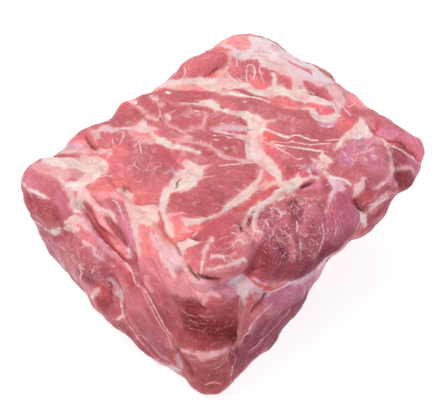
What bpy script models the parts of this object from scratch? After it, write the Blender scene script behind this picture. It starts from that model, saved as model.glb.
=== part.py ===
"""A raw boneless pork shoulder roast: one solid block of muscles and fat seams, lying on its flat side.

The block starts as a rectangular blank with rounded edges. Its four upright edges are then bent to
where the cut really has them, a few soft grabs push and pull the skin, and the muscles, grooves and
hollows are added as relief along short paths drawn on the faces of the blank.
All sizes are in millimetres until the mesh is written, which is in metres.
"""
import bmesh
import bpy
import numpy as np

METRES = 0.001
NODE = "pork_shoulder_roast"

# Driving dimensions of the blank
LENGTH = 216.0
WIDTH = 176.0
HEIGHT = 99.0
EDGE_RADIUS = 20.0
CELLS = (42, 34, 20)
# The cells are crowded towards the left, near and upper faces, where the relief is finest
CROWDING = (-0.13, -0.13, 0.15)

# Where each upright edge of the blank goes: its lower end, middle and upper end
UPRIGHTS = {
    (-1, 1): ((-95, 76, 7), (-106, 87, 50), (-109, 94, 90)),
    (1, 1): ((99, 83, 4), (115, 97, 50), (115, 98, 101)),
    (1, -1): ((76, -50, 5), (106, -70, 41), (134, -83, 81)),
    (-1, -1): ((-92, -90, -4), (-99, -93, 50), (-94, -83, 103)),
}

# Soft grabs that finish the outline: what it does, centre, reach, move
GRABS = (
    ("left end swells low", (-103, -4, 25), 40, (-8, 0, -2)),
    ("left end swells at mid height", (-104, -18, 54), 54, (-3, 0, 0)),
    ("far edge crowns", (54, 95, 95), 54, (0, 3, 3)),
    ("far edge has a lobe", (88, 95, 98), 20, (-1, 3, 1)),
    ("far edge has a nub", (-6, 92, 94), 13, (-2, 5, 3)),
    ("far edge swells", (-50, 92, 90), 20, (-1, 2, 1)),
    ("far edge dips", (-72, 92, 94), 13, (0, -2, -2)),
    ("left far corner stands up", (-104, 88, 88), 18, (-1, 2, 2)),
    ("left far corner swells below", (-106, 78, 62), 19, (-4, 1, 0)),
    ("right edge crowns", (115, 9, 90), 68, (7, 0, 4)),
    ("right edge dips", (113, -12, 94), 26, (-4, 0, -3)),
    ("near side swells low", (-29, -83, 22), 43, (0, -6.5, -2)),
    ("near side draws in", (50, -71, 36), 32, (-3.5, 4, 0)),
    ("near side draws in low", (22, -78, 14), 22, (-3, 5, 0)),
    ("right end draws in", (126, -66, 66), 26, (-5, 1, 2)),
    ("left side draws in beyond the knob", (-98, -12, 12), 17, (4, 0, 0)),
    ("left side swells near its foot", (-94, -42, 14), 18, (-4, -1, -2)),
    ("near foot reaches out", (-88, -86, 9), 30, (0, -4, -4)),
    ("belly settles flat", (7, 0, 0), 90, (0, 0, -8)),
)


# A place on a face of the blank: x runs along the length, y across, z up from the foot
def top(x, y):
    return x, y, HEIGHT


def under(x, y):
    return x, y, 0.0


def left(y, z):
    return -LENGTH / 2, y, z


def right(y, z):
    return LENGTH / 2, y, z


def near(x, z):
    return x, -WIDTH / 2, z


def far(x, z):
    return x, WIDTH / 2, z


# Muscles, lobes and pads that stand proud: name, path of the spine, reach, height
MUSCLES = (
    ("round muscle", (top(-62, 34), top(-51, 24), top(-44, 14)), 20, 3.5),
    ("muscle in front of it", (top(-64, -20), top(-40, -20), top(-18, -22), top(-5, -26)), 15, 3.0),
    ("strip muscle", (top(-74, -50), top(-50, -50), top(-25, -49), top(-5, -48)), 7, 2.0),
    ("flap over the near corner", (top(-90, -66), top(-78, -76), top(-64, -74), top(-56, -68)), 14, 5.0),
    ("long muscle", (top(6, 66), top(30, 46), top(56, 20), top(78, -6)), 8, 1.8),
    ("oval muscle", (top(0, 50), top(13, 36), top(26, 24)), 10, 2.0),
    ("short muscle at the seam", (top(-12, 26), top(2, 10), top(9, 2)), 8, 1.8),
    ("broad muscle right of the seam", (top(42, 4), top(52, -14), top(61, -31)), 11, 2.2),
    ("red muscle right of the seam", (top(18, -15), top(25, -28), top(22, -38)), 9, 1.8),
    ("lean lobe at the back", (top(42, 76), top(56, 72), top(68, 68)), 10, 3.0),
    ("pale lobe at the back corner", (top(84, 70), top(94, 56)), 11, 1.2),
    ("striped lean by the back corner", (top(56, 50), top(64, 36), top(72, 22)), 9, 1.5),
    ("fat pad on the left corner", (top(-92, 72), top(-86, 56), top(-90, 44)), 13, 2.5),
    ("lobe on the far edge", (top(-62, 76), top(-46, 72)), 12, 2.0),
    ("round eye at the right", (top(52, -60), top(60, -66)), 21, 4.0),
    ("long lobe on the right end", (top(97, -46), top(101, -64), top(101, -78)), 11, 3.5),
    ("knuckle under the eye", (top(44, -84), near(50, 92), near(60, 88)), 9, 3.5),
    ("nub on the right end", (near(88, 86), near(92, 78)), 9, 3.0),
    ("low lobe at the right", (near(84, 50), near(72, 44)), 11, 4.0),
    ("rough muscle", (near(-46, 88), near(-24, 86), near(0, 82), near(22, 80)), 19, 6.0),
    ("rough muscle, top", (top(-22, -72), top(0, -72), top(18, -72)), 13, 3.0),
    ("strip along the near side", (near(-66, 60), near(-40, 50), near(-8, 42), near(24, 34)), 13, 3.0),
    ("front muscle", (left(-72, 92), near(-104, 90), near(-88, 86)), 12, 3.0),
    ("fat ridge round the corner", (left(-70, 47), left(-86, 45), near(-98, 46), near(-84, 50)), 6, 3.5),
    ("lobe at the near foot", (left(-80, 26), near(-104, 26), near(-90, 30)), 15, 3.0),
    ("peach lobe on the left edge", (top(-92, -18), top(-98, -34), left(-44, 96)), 7, 3.0),
    ("pale strand", (top(-88, -44), top(-98, -54), left(-62, 95), left(-68, 84)), 6, 2.0),
    ("dark muscle at the left corner", (left(62, 78), left(44, 80)), 12, 2.0),
    ("broad muscle on the left side", (left(40, 50), left(24, 56), left(6, 66)), 16, 2.5),
    ("knob low on the left side", (left(4, 34), left(-6, 32)), 12, 4.5),
    ("long muscle low on the left side", (left(-30, 44), left(-44, 36), left(-58, 30)), 11, 3.5),
    ("slanting muscle, upper", (left(-34, 92), left(-42, 84), left(-52, 72)), 6, 2.5),
    ("slanting muscle, lower", (left(-20, 78), left(-32, 66), left(-46, 52)), 7, 2.5),
    ("long muscle on the far side", (far(-84, 62), far(-30, 70), far(40, 66), far(90, 72)), 17, 4.0),
    ("low muscle on the far side", (far(-70, 28), far(-10, 34), far(60, 26)), 16, 3.5),
    ("fat cap on the right side", (right(74, 60), right(30, 66), right(-20, 62)), 24, 3.0),
    ("low muscle on the right side", (right(64, 30), right(14, 34), right(-40, 40)), 17, 3.5),
)

# Seams, slots and hollows that sink in: name, path of the bottom, reach, depth
GROOVES = (
    ("slot, left edge", (top(-98, 30), top(-103, 18), left(4, 97), left(-10, 95), left(-28, 92)), 6, 5.0),
    ("channel beside the slot", (top(-97, 4), top(-102, -8), left(-20, 97)), 6, 3.6),
    ("seam down the left side", (left(-10, 90), left(-29, 87), left(-42, 75), left(-60, 52)), 6, 4.0),
    ("second seam down the left side", (left(-40, 98), left(-50, 84), left(-58, 70), left(-66, 56)), 6, 3.1),
    ("seam low on the left side", (left(-8, 76), left(-18, 60), left(-23, 42), left(-46, 16)), 6, 4.0),
    ("notch over the knob", (left(14, 50), left(2, 53), left(-8, 52)), 6, 3.6),
    ("seam at the left corner", (left(74, 64), left(56, 60), left(40, 68), left(30, 76)), 6, 2.5),
    ("hollow in the front corner", (left(-74, 72), near(-106, 70), near(-88, 66)), 14, 4.5),
    ("groove over the near foot", (left(-62, 36), left(-64, 22)), 6, 3.0),
    ("seam on the near side", (near(-71, 84), near(-72, 62), near(-77, 40), near(-80, 24)), 6, 3.6),
    ("gap under the flap", (top(-102, -64), left(-82, 95), near(-98, 93), near(-74, 89)), 6, 5.5),
    ("gap beside the flap", (top(-48, -66), top(-54, -78), near(-62, 94), near(-68, 88)), 6.5, 4.5),
    ("gap under the rough muscle", (near(-62, 76), near(-46, 64), near(-14, 59), near(12, 50)), 6, 4.5),
    ("crease across the rough muscle", (top(-16, -80), near(-22, 92), near(-20, 76)), 6, 2.0),
    ("second crease across it", (top(4, -80), near(0, 90), near(-2, 74)), 6, 2.0),
    ("slit under the knuckle", (near(28, 96), near(34, 85), near(46, 79), near(58, 78)), 6, 4.5),
    ("groove round the eye", (top(70, -50), top(76, -64), top(71, -78), near(66, 94), near(54, 88)), 6, 3.0),
    ("hollow under the right end", (near(74, 88), near(78, 80)), 7, 4.0),
    ("groove along the right end lobe", (top(88, -40), top(84, -52), top(88, -68), top(95, -86)), 6, 4.5),
    ("main seam", (top(32, 20), top(24, 4), top(12, -7), top(8, -20), top(5, -36)), 6, 2.5),
    ("seam in front of the strip", (top(16, -58), top(-8, -54), top(-30, -58), top(-48, -62)), 6, 3.6),
    ("seam behind the strip", (top(-2, -40), top(-28, -42), top(-56, -42), top(-76, -40)), 6, 2.0),
    ("seam round the round muscle", (top(-64, 44), top(-69, 33), top(-71, 14), top(-70, 2)), 6, 3.0),
    ("patch below the round muscle", (top(-60, -6), top(-44, 0), top(-31, 9), top(-24, 20)), 6, 2.0),
    ("fat band across the top", (top(-46, 52), top(-24, 38), top(-6, 18), top(6, -12)), 6, 2.0),
    ("fat band at the back", (top(18, 70), top(36, 52), top(60, 26), top(82, -2), top(84, -30)), 6, 1.8),
    ("crease under the lean lobe", (top(36, 64), top(48, 61), top(62, 60)), 6, 3.1),
    ("notch on the far edge", (top(-76, 86), top(-70, 72), top(-64, 56)), 6, 2.5),
    ("crease on the far edge", (top(-49, 86), top(-56, 70), top(-59, 58)), 6, 2.5),
    ("crease beside the peach lobe", (top(-76, -10), top(-80, -28), top(-88, -44), top(-96, -58)), 6, 2.5),
    ("seam along the far side", (far(-92, 44), far(-30, 50), far(40, 46), far(94, 52)), 7, 3.5),
    ("upright seam on the far side", (far(8, 96), far(2, 70), far(10, 44)), 6, 2.5),
    ("seam along the right side", (right(80, 48), right(20, 54), right(-50, 56)), 7, 3.5),
    ("upright seam on the right side", (right(8, 92), right(0, 70), right(10, 52)), 6, 2.5),
    ("seam across the underside", (under(-60, 70), under(-40, 10), under(-56, -70)), 8, 3.0),
    ("second seam across the underside", (under(50, 80), under(30, 10), under(52, -60)), 8, 3.0),
)

# Small unevenness all over: a few slow waves in fixed random directions
WAVES = 9
WAVE_HEIGHT = 0.5
WAVE_LENGTHS = (26.0, 60.0)
SEED = 7
# The skin between the muscles lies this much below the plain body
SKIN_SINKS = 1.2

LEAN_COLOUR = (0.56, 0.19, 0.20, 1.0)
LEAN_ROUGHNESS = 0.42


def clear_scene():
    for thing in list(bpy.data.objects):
        bpy.data.objects.remove(thing, do_unlink=True)


def blank_lattice(cells):
    """Places on the faces of a cube from -1 to 1, and the squares between them, facing out."""
    shape = np.array(cells) + 1
    index = np.indices(shape)
    skin = ((index == 0) | (index == np.array(cells)[:, None, None, None])).any(axis=0)
    number = np.full(shape, -1)
    number[skin] = np.arange(skin.sum())
    places = 2.0 * index[:, skin].T / np.array(cells) - 1.0
    places += np.array(CROWDING) * (1.0 - places**2)
    squares = []
    for axis in range(3):
        for end in (0, -1):
            side = np.take(number, end, axis=axis)
            around = np.stack([side[:-1, :-1], side[1:, :-1], side[1:, 1:], side[:-1, 1:]], axis=-1)
            around = around.reshape(-1, 4)
            faces_out = (end == -1) != (axis == 1)
            squares.append(around if faces_out else around[:, ::-1])
    return places, np.concatenate(squares)


def round_edges(places):
    """The blank in millimetres: each point is a core point plus one edge radius straight outwards."""
    half = np.array([LENGTH, WIDTH, HEIGHT]) / 2
    block = places * half
    core = np.clip(block, EDGE_RADIUS - half, half - EDGE_RADIUS)
    outward = block - core
    return core + EDGE_RADIUS * outward / np.linalg.norm(outward, axis=1, keepdims=True)


def bend_uprights(block):
    """Blend the four uprights: linear along and across, a parabola through three heights going up."""
    x, y, z = (block / (np.array([LENGTH, WIDTH, HEIGHT]) / 2)).T
    heights = np.stack([z * (z - 1) / 2, 1 - z * z, z * (z + 1) / 2], axis=1)
    bent = np.zeros_like(block)
    for (side, depth), upright in UPRIGHTS.items():
        share = (1 + side * x) * (1 + depth * y) / 4
        bent += share[:, None] * (heights @ np.array(upright, dtype=float))
    return bent


def grab(points):
    """Each grab moves what is near its centre, fading with the square of the distance."""
    for _, centre, reach, move in GRABS:
        away = ((points - np.array(centre)) ** 2).sum(axis=1)
        points = points + np.exp(-away / reach**2)[:, None] * np.array(move, dtype=float)
    return points


def body(places):
    """From places on the cube to the plain body of the roast, without its relief."""
    return grab(bend_uprights(round_edges(places)))


def smooth_path(places, steps=6):
    """A smooth curve through the places: each span is a cubic steered by its neighbours."""
    p = np.array(places, dtype=float)
    p = np.vstack([2 * p[0] - p[1], p, 2 * p[-1] - p[-2]])
    t = np.arange(steps)[None, :, None] / steps
    a, b, c, d = (p[i : len(p) - 3 + i, None] for i in range(4))
    spans = b + t * (c - a + t * (2 * a - 5 * b + 4 * c - d + t * (3 * (b - c) + d - a))) / 2
    return np.vstack([spans.reshape(-1, 3), p[-2]])


def on_body(places):
    """Lay a path drawn on the blank's faces onto the plain body."""
    half = np.array([LENGTH, WIDTH, HEIGHT]) / 2
    cube = smooth_path(places) / half - np.array([0.0, 0.0, 1.0])
    return body(cube / np.abs(cube).max(axis=1, keepdims=True))


def distance_to(path, points):
    """Shortest distance from each point to the path's straight pieces."""
    shortest = np.full(len(points), np.inf)
    for start, end in zip(path[:-1], path[1:]):
        span = end - start
        along = np.clip((points - start) @ span / (span @ span), 0.0, 1.0)
        away = np.linalg.norm(points - start - along[:, None] * span, axis=1)
        shortest = np.minimum(shortest, away)
    return shortest


def outward_normals(points, squares):
    """Unit normals at the points: the sum of the squares around each, by area."""
    a, b, c, d = (points[squares[:, corner]] for corner in range(4))
    facing = np.cross(c - a, d - b)
    total = np.zeros_like(points)
    for corner in range(4):
        np.add.at(total, squares[:, corner], facing)
    return total / np.linalg.norm(total, axis=1, keepdims=True)


def relief(points):
    """How far each point stands out: muscles have broad crowns, grooves are narrow, waves are slow."""
    out = np.full(len(points), -SKIN_SINKS)
    for _, path, reach, height in MUSCLES:
        out += height * np.exp(-((distance_to(on_body(path), points) / reach) ** 3))
    for _, path, reach, depth in GROOVES:
        out -= depth * np.exp(-((distance_to(on_body(path), points) / reach) ** 2))
    draw = np.random.default_rng(SEED)
    for _ in range(WAVES):
        heading = draw.normal(size=3)
        heading *= 2 * np.pi / draw.uniform(*WAVE_LENGTHS) / np.linalg.norm(heading)
        out += WAVE_HEIGHT * np.sin(points @ heading + draw.uniform(0, 2 * np.pi))
    return out


def roast_form(cells):
    """The finished form in millimetres, standing on z = 0 with its middle over the origin."""
    places, squares = blank_lattice(cells)
    points = body(places)
    points = points + relief(points)[:, None] * outward_normals(points, squares)
    points[:, 2] = np.maximum(points[:, 2], 0.0)
    middle = (points.min(axis=0) + points.max(axis=0)) / 2
    return points - np.array([middle[0], middle[1], 0.0]), squares


def lean_material():
    material = bpy.data.materials.new("raw_lean")
    material.use_nodes = True
    shader = material.node_tree.nodes["Principled BSDF"]
    shader.inputs["Base Color"].default_value = LEAN_COLOUR
    shader.inputs["Roughness"].default_value = LEAN_ROUGHNESS
    return material


def make_roast():
    points, squares = roast_form(CELLS)
    mesh = bpy.data.meshes.new(NODE)
    mesh.from_pydata((points * METRES).tolist(), [], squares.tolist())
    shaping = bmesh.new()
    shaping.from_mesh(mesh)
    bmesh.ops.triangulate(shaping, faces=shaping.faces[:])
    shaping.to_mesh(mesh)
    shaping.free()
    mesh.shade_smooth()
    mesh.materials.append(lean_material())
    roast = bpy.data.objects.new(NODE, mesh)
    bpy.context.scene.collection.objects.link(roast)
    return roast


clear_scene()
make_roast()
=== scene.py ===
# %% [markdown]
# # A raw boneless pork shoulder roast
# The roast is one block of muscles, held together by seams of fat and thin white sinews. It has no
# loose parts, so the whole look is one closed skin. This lesson works that skin out with numpy, lays
# the seams on it along short paths, and gives the meat its colours and moist shine with shader nodes.
#
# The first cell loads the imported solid, which fixes where the roast stands and how big it is.

import bpy
import numpy as np
from mathutils import Matrix, Vector
from mathutils.bvhtree import BVHTree


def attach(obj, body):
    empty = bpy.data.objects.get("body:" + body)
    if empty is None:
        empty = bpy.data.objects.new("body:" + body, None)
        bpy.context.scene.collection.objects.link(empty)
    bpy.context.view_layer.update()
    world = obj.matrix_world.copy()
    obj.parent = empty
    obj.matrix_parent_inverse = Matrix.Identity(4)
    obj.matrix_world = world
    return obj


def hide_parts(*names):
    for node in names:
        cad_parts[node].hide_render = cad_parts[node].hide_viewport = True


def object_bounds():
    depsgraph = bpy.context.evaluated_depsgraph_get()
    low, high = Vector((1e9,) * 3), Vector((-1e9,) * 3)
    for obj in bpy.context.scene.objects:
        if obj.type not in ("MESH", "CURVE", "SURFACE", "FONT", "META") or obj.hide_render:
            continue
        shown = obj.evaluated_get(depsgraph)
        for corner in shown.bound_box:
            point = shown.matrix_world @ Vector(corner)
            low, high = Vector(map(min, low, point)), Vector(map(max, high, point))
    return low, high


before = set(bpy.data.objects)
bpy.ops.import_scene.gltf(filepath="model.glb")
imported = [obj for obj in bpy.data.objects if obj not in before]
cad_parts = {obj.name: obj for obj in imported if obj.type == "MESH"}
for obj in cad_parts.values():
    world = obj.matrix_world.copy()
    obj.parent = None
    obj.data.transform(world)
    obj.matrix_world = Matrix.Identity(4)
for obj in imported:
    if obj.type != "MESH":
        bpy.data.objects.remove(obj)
NODE = "pork_shoulder_roast"
METRES = 0.001
solid_box = [list(corner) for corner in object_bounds()]
print("solid, lowest and highest corner in metres:", solid_box)

# %% [markdown]
# ## The blank
# A butcher's block of meat is nearly a box with soft edges. A sphere or a subdivided cube would also
# round off the flat faces, so the blank is a cube's grid pushed out by one edge radius from a smaller
# box inside it. Each of the six faces is a surface over two parameters, and neighbours share their
# edge points, so the skin is closed. The finest cells go where the relief is finest.

# %% The blank with rounded edges
LENGTH, WIDTH, HEIGHT = 216.0, 176.0, 99.0
EDGE_RADIUS = 20.0
HALF = np.array([LENGTH, WIDTH, HEIGHT]) / 2
SOLID_CELLS = (42, 34, 20)
SKIN_CELLS = (168, 146, 80)
CROWDING = np.array([-0.13, -0.13, 0.15])


def blank_lattice(cells):
    """Places on the faces of a cube from -1 to 1, and the squares between them, facing out.

    Along each axis a place is 2i/n - 1, plus the crowding times (1 - place squared)."""
    shape = np.array(cells) + 1
    index = np.indices(shape)
    skin = ((index == 0) | (index == np.array(cells)[:, None, None, None])).any(axis=0)
    number = np.full(shape, -1)
    number[skin] = np.arange(skin.sum())
    places = 2.0 * index[:, skin].T / np.array(cells) - 1.0
    places += CROWDING * (1.0 - places**2)
    squares = []
    for axis in range(3):
        for end in (0, -1):
            side = np.take(number, end, axis=axis)
            around = np.stack([side[:-1, :-1], side[1:, :-1], side[1:, 1:], side[:-1, 1:]], axis=-1)
            around = around.reshape(-1, 4)
            faces_out = (end == -1) != (axis == 1)
            squares.append(around if faces_out else around[:, ::-1])
    return places, np.concatenate(squares)


def round_edges(places):
    """The blank in millimetres: a point of the core box, plus one edge radius straight outwards."""
    block = places * HALF
    core = np.clip(block, EDGE_RADIUS - HALF, HALF - EDGE_RADIUS)
    outward = block - core
    return core + EDGE_RADIUS * outward / np.linalg.norm(outward, axis=1, keepdims=True)


print("squares on the skin:", len(blank_lattice(SKIN_CELLS)[1]))

# %% [markdown]
# ## The body
# The cut leans out over its foot on one side and is longer at the top than at the bottom. Blending
# the four upright edges does that with a few named places: linear along and across, and a parabola
# through three heights going up. Soft grabs then push and pull the skin where a corner swells or
# draws in, as a sculptor's grab brush does, and the belly settles flat on the table.

# %% Uprights and grabs
UPRIGHTS = {
    (-1, 1): ((-95, 76, 7), (-106, 87, 50), (-109, 94, 90)),
    (1, 1): ((99, 83, 4), (115, 97, 50), (115, 98, 101)),
    (1, -1): ((76, -50, 5), (106, -70, 41), (134, -83, 81)),
    (-1, -1): ((-92, -90, -4), (-99, -93, 50), (-94, -83, 103)),
}
GRABS = (
    ("left end swells low", (-103, -4, 25), 40, (-8, 0, -2)),
    ("left end swells at mid height", (-104, -18, 54), 54, (-3, 0, 0)),
    ("far edge crowns", (54, 95, 95), 54, (0, 3, 3)),
    ("far edge has a lobe", (88, 95, 98), 20, (-1, 3, 1)),
    ("far edge has a nub", (-6, 92, 94), 13, (-2, 5, 3)),
    ("far edge swells", (-50, 92, 90), 20, (-1, 2, 1)),
    ("far edge dips", (-72, 92, 94), 13, (0, -2, -2)),
    ("left far corner stands up", (-104, 88, 88), 18, (-1, 2, 2)),
    ("left far corner swells below", (-106, 78, 62), 19, (-4, 1, 0)),
    ("right edge crowns", (115, 9, 90), 68, (7, 0, 4)),
    ("right edge dips", (113, -12, 94), 26, (-4, 0, -3)),
    ("near side swells low", (-29, -83, 22), 43, (0, -6.5, -2)),
    ("near side draws in", (50, -71, 36), 32, (-3.5, 4, 0)),
    ("near side draws in low", (22, -78, 14), 22, (-3, 5, 0)),
    ("right end draws in", (126, -66, 66), 26, (-5, 1, 2)),
    ("left side draws in beyond the knob", (-98, -12, 12), 17, (4, 0, 0)),
    ("left side swells near its foot", (-94, -42, 14), 18, (-4, -1, -2)),
    ("near foot reaches out", (-88, -86, 9), 30, (0, -4, -4)),
    ("belly settles flat", (7, 0, 0), 90, (0, 0, -8)),
)


def bend_uprights(block):
    """Blend the four uprights: linear along and across, a parabola through three heights going up."""
    x, y, z = (block / HALF).T
    heights = np.stack([z * (z - 1) / 2, 1 - z * z, z * (z + 1) / 2], axis=1)
    bent = np.zeros_like(block)
    for (side, depth), upright in UPRIGHTS.items():
        share = (1 + side * x) * (1 + depth * y) / 4
        bent += share[:, None] * (heights @ np.array(upright, dtype=float))
    return bent


def grab(points):
    """Each grab adds its move times exp(-(distance from its centre / reach) squared)."""
    for _, centre, reach, move in GRABS:
        away = ((points - np.array(centre)) ** 2).sum(axis=1)
        points = points + np.exp(-away / reach**2)[:, None] * np.array(move, dtype=float)
    return points


def body(places):
    """From places on the cube to the plain body of the roast, without its relief."""
    return grab(bend_uprights(round_edges(places)))


def outward_normals(points, squares):
    """Unit normals at the points: the sum of the squares around each, by area."""
    a, b, c, d = (points[squares[:, corner]] for corner in range(4))
    facing = np.cross(c - a, d - b)
    total = np.zeros_like(points)
    for corner in range(4):
        np.add.at(total, squares[:, corner], facing)
    return total / np.linalg.norm(total, axis=1, keepdims=True)


print("plain body, size in mm:", np.ptp(body(blank_lattice(SOLID_CELLS)[0]), axis=0).round(1))

# %% [markdown]
# ## Muscles and grooves
# Each muscle is a broad crown along a short spine, and each seam a narrow groove. Both are drawn on
# the faces of the blank, where places are easy to name, and then carried onto the body. A crown falls
# off with the cube of the distance, so it is flat on top, and a groove with the square.
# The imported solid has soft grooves. Here the same grooves are cut narrower and deeper, which a finer
# skin can carry. Sculpting would do this by eye. Named paths can be moved one at a time.

# %% Places on the blank's faces
# Each takes the two coordinates that vary over its face, in millimetres.
def top(x, y):
    return x, y, HEIGHT


def under(x, y):
    return x, y, 0.0


def left(y, z):
    return -LENGTH / 2, y, z


def right(y, z):
    return LENGTH / 2, y, z


def near(x, z):
    return x, -WIDTH / 2, z


def far(x, z):
    return x, WIDTH / 2, z


print("middle of the near face:", near(0, HEIGHT / 2))

# %% The muscles that stand proud: name, spine, reach, height
MUSCLES = (
    ("round muscle", (top(-62, 34), top(-51, 24), top(-44, 14)), 20, 3.5),
    ("muscle in front of it", (top(-64, -20), top(-40, -20), top(-18, -22), top(-5, -26)), 15, 3.0),
    ("strip muscle", (top(-74, -50), top(-50, -50), top(-25, -49), top(-5, -48)), 7, 2.0),
    ("flap over the near corner", (top(-90, -66), top(-78, -76), top(-64, -74), top(-56, -68)), 14, 5.0),
    ("long muscle", (top(6, 66), top(30, 46), top(56, 20), top(78, -6)), 8, 1.8),
    ("oval muscle", (top(0, 50), top(13, 36), top(26, 24)), 10, 2.0),
    ("short muscle at the seam", (top(-12, 26), top(2, 10), top(9, 2)), 8, 1.8),
    ("broad muscle right of the seam", (top(42, 4), top(52, -14), top(61, -31)), 11, 2.2),
    ("red muscle right of the seam", (top(18, -15), top(25, -28), top(22, -38)), 9, 1.8),
    ("lean lobe at the back", (top(42, 76), top(56, 72), top(68, 68)), 10, 3.0),
    ("pale lobe at the back corner", (top(84, 70), top(94, 56)), 11, 1.2),
    ("striped lean by the back corner", (top(56, 50), top(64, 36), top(72, 22)), 9, 1.5),
    ("fat pad on the left corner", (top(-92, 72), top(-86, 56), top(-90, 44)), 13, 2.5),
    ("lobe on the far edge", (top(-62, 76), top(-46, 72)), 12, 2.0),
    ("round eye at the right", (top(52, -60), top(60, -66)), 21, 4.0),
    ("long lobe on the right end", (top(97, -46), top(101, -64), top(101, -78)), 11, 3.5),
    ("knuckle under the eye", (top(44, -84), near(50, 92), near(60, 88)), 9, 3.5),
    ("nub on the right end", (near(88, 86), near(92, 78)), 9, 3.0),
    ("low lobe at the right", (near(84, 50), near(72, 44)), 11, 4.0),
    ("rough muscle", (near(-46, 88), near(-24, 86), near(0, 82), near(22, 80)), 19, 6.0),
    ("rough muscle, top", (top(-22, -72), top(0, -72), top(18, -72)), 13, 3.0),
    ("strip along the near side", (near(-66, 60), near(-40, 50), near(-8, 42), near(24, 34)), 13, 3.0),
    ("front muscle", (left(-72, 92), near(-104, 90), near(-88, 86)), 12, 3.0),
    ("fat ridge round the corner", (left(-70, 47), left(-86, 45), near(-98, 46), near(-84, 50)), 6, 3.5),
    ("lobe at the near foot", (left(-80, 26), near(-104, 26), near(-90, 30)), 15, 3.0),
    ("peach lobe on the left edge", (top(-92, -18), top(-98, -34), left(-44, 96)), 7, 3.0),
    ("pale strand", (top(-88, -44), top(-98, -54), left(-62, 95), left(-68, 84)), 6, 2.0),
    ("dark muscle at the left corner", (left(62, 78), left(44, 80)), 12, 2.0),
    ("broad muscle on the left side", (left(40, 50), left(24, 56), left(6, 66)), 16, 2.5),
    ("knob low on the left side", (left(4, 34), left(-6, 32)), 12, 4.5),
    ("long muscle low on the left side", (left(-30, 44), left(-44, 36), left(-58, 30)), 11, 3.5),
    ("slanting muscle, upper", (left(-34, 92), left(-42, 84), left(-52, 72)), 6, 2.5),
    ("slanting muscle, lower", (left(-20, 78), left(-32, 66), left(-46, 52)), 7, 2.5),
    ("long muscle on the far side", (far(-84, 62), far(-30, 70), far(40, 66), far(90, 72)), 17, 4.0),
    ("low muscle on the far side", (far(-70, 28), far(-10, 34), far(60, 26)), 16, 3.5),
    ("fat cap on the right side", (right(74, 60), right(30, 66), right(-20, 62)), 24, 3.0),
    ("low muscle on the right side", (right(64, 30), right(14, 34), right(-40, 40)), 17, 3.5),
)
print("muscles:", len(MUSCLES))

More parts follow.
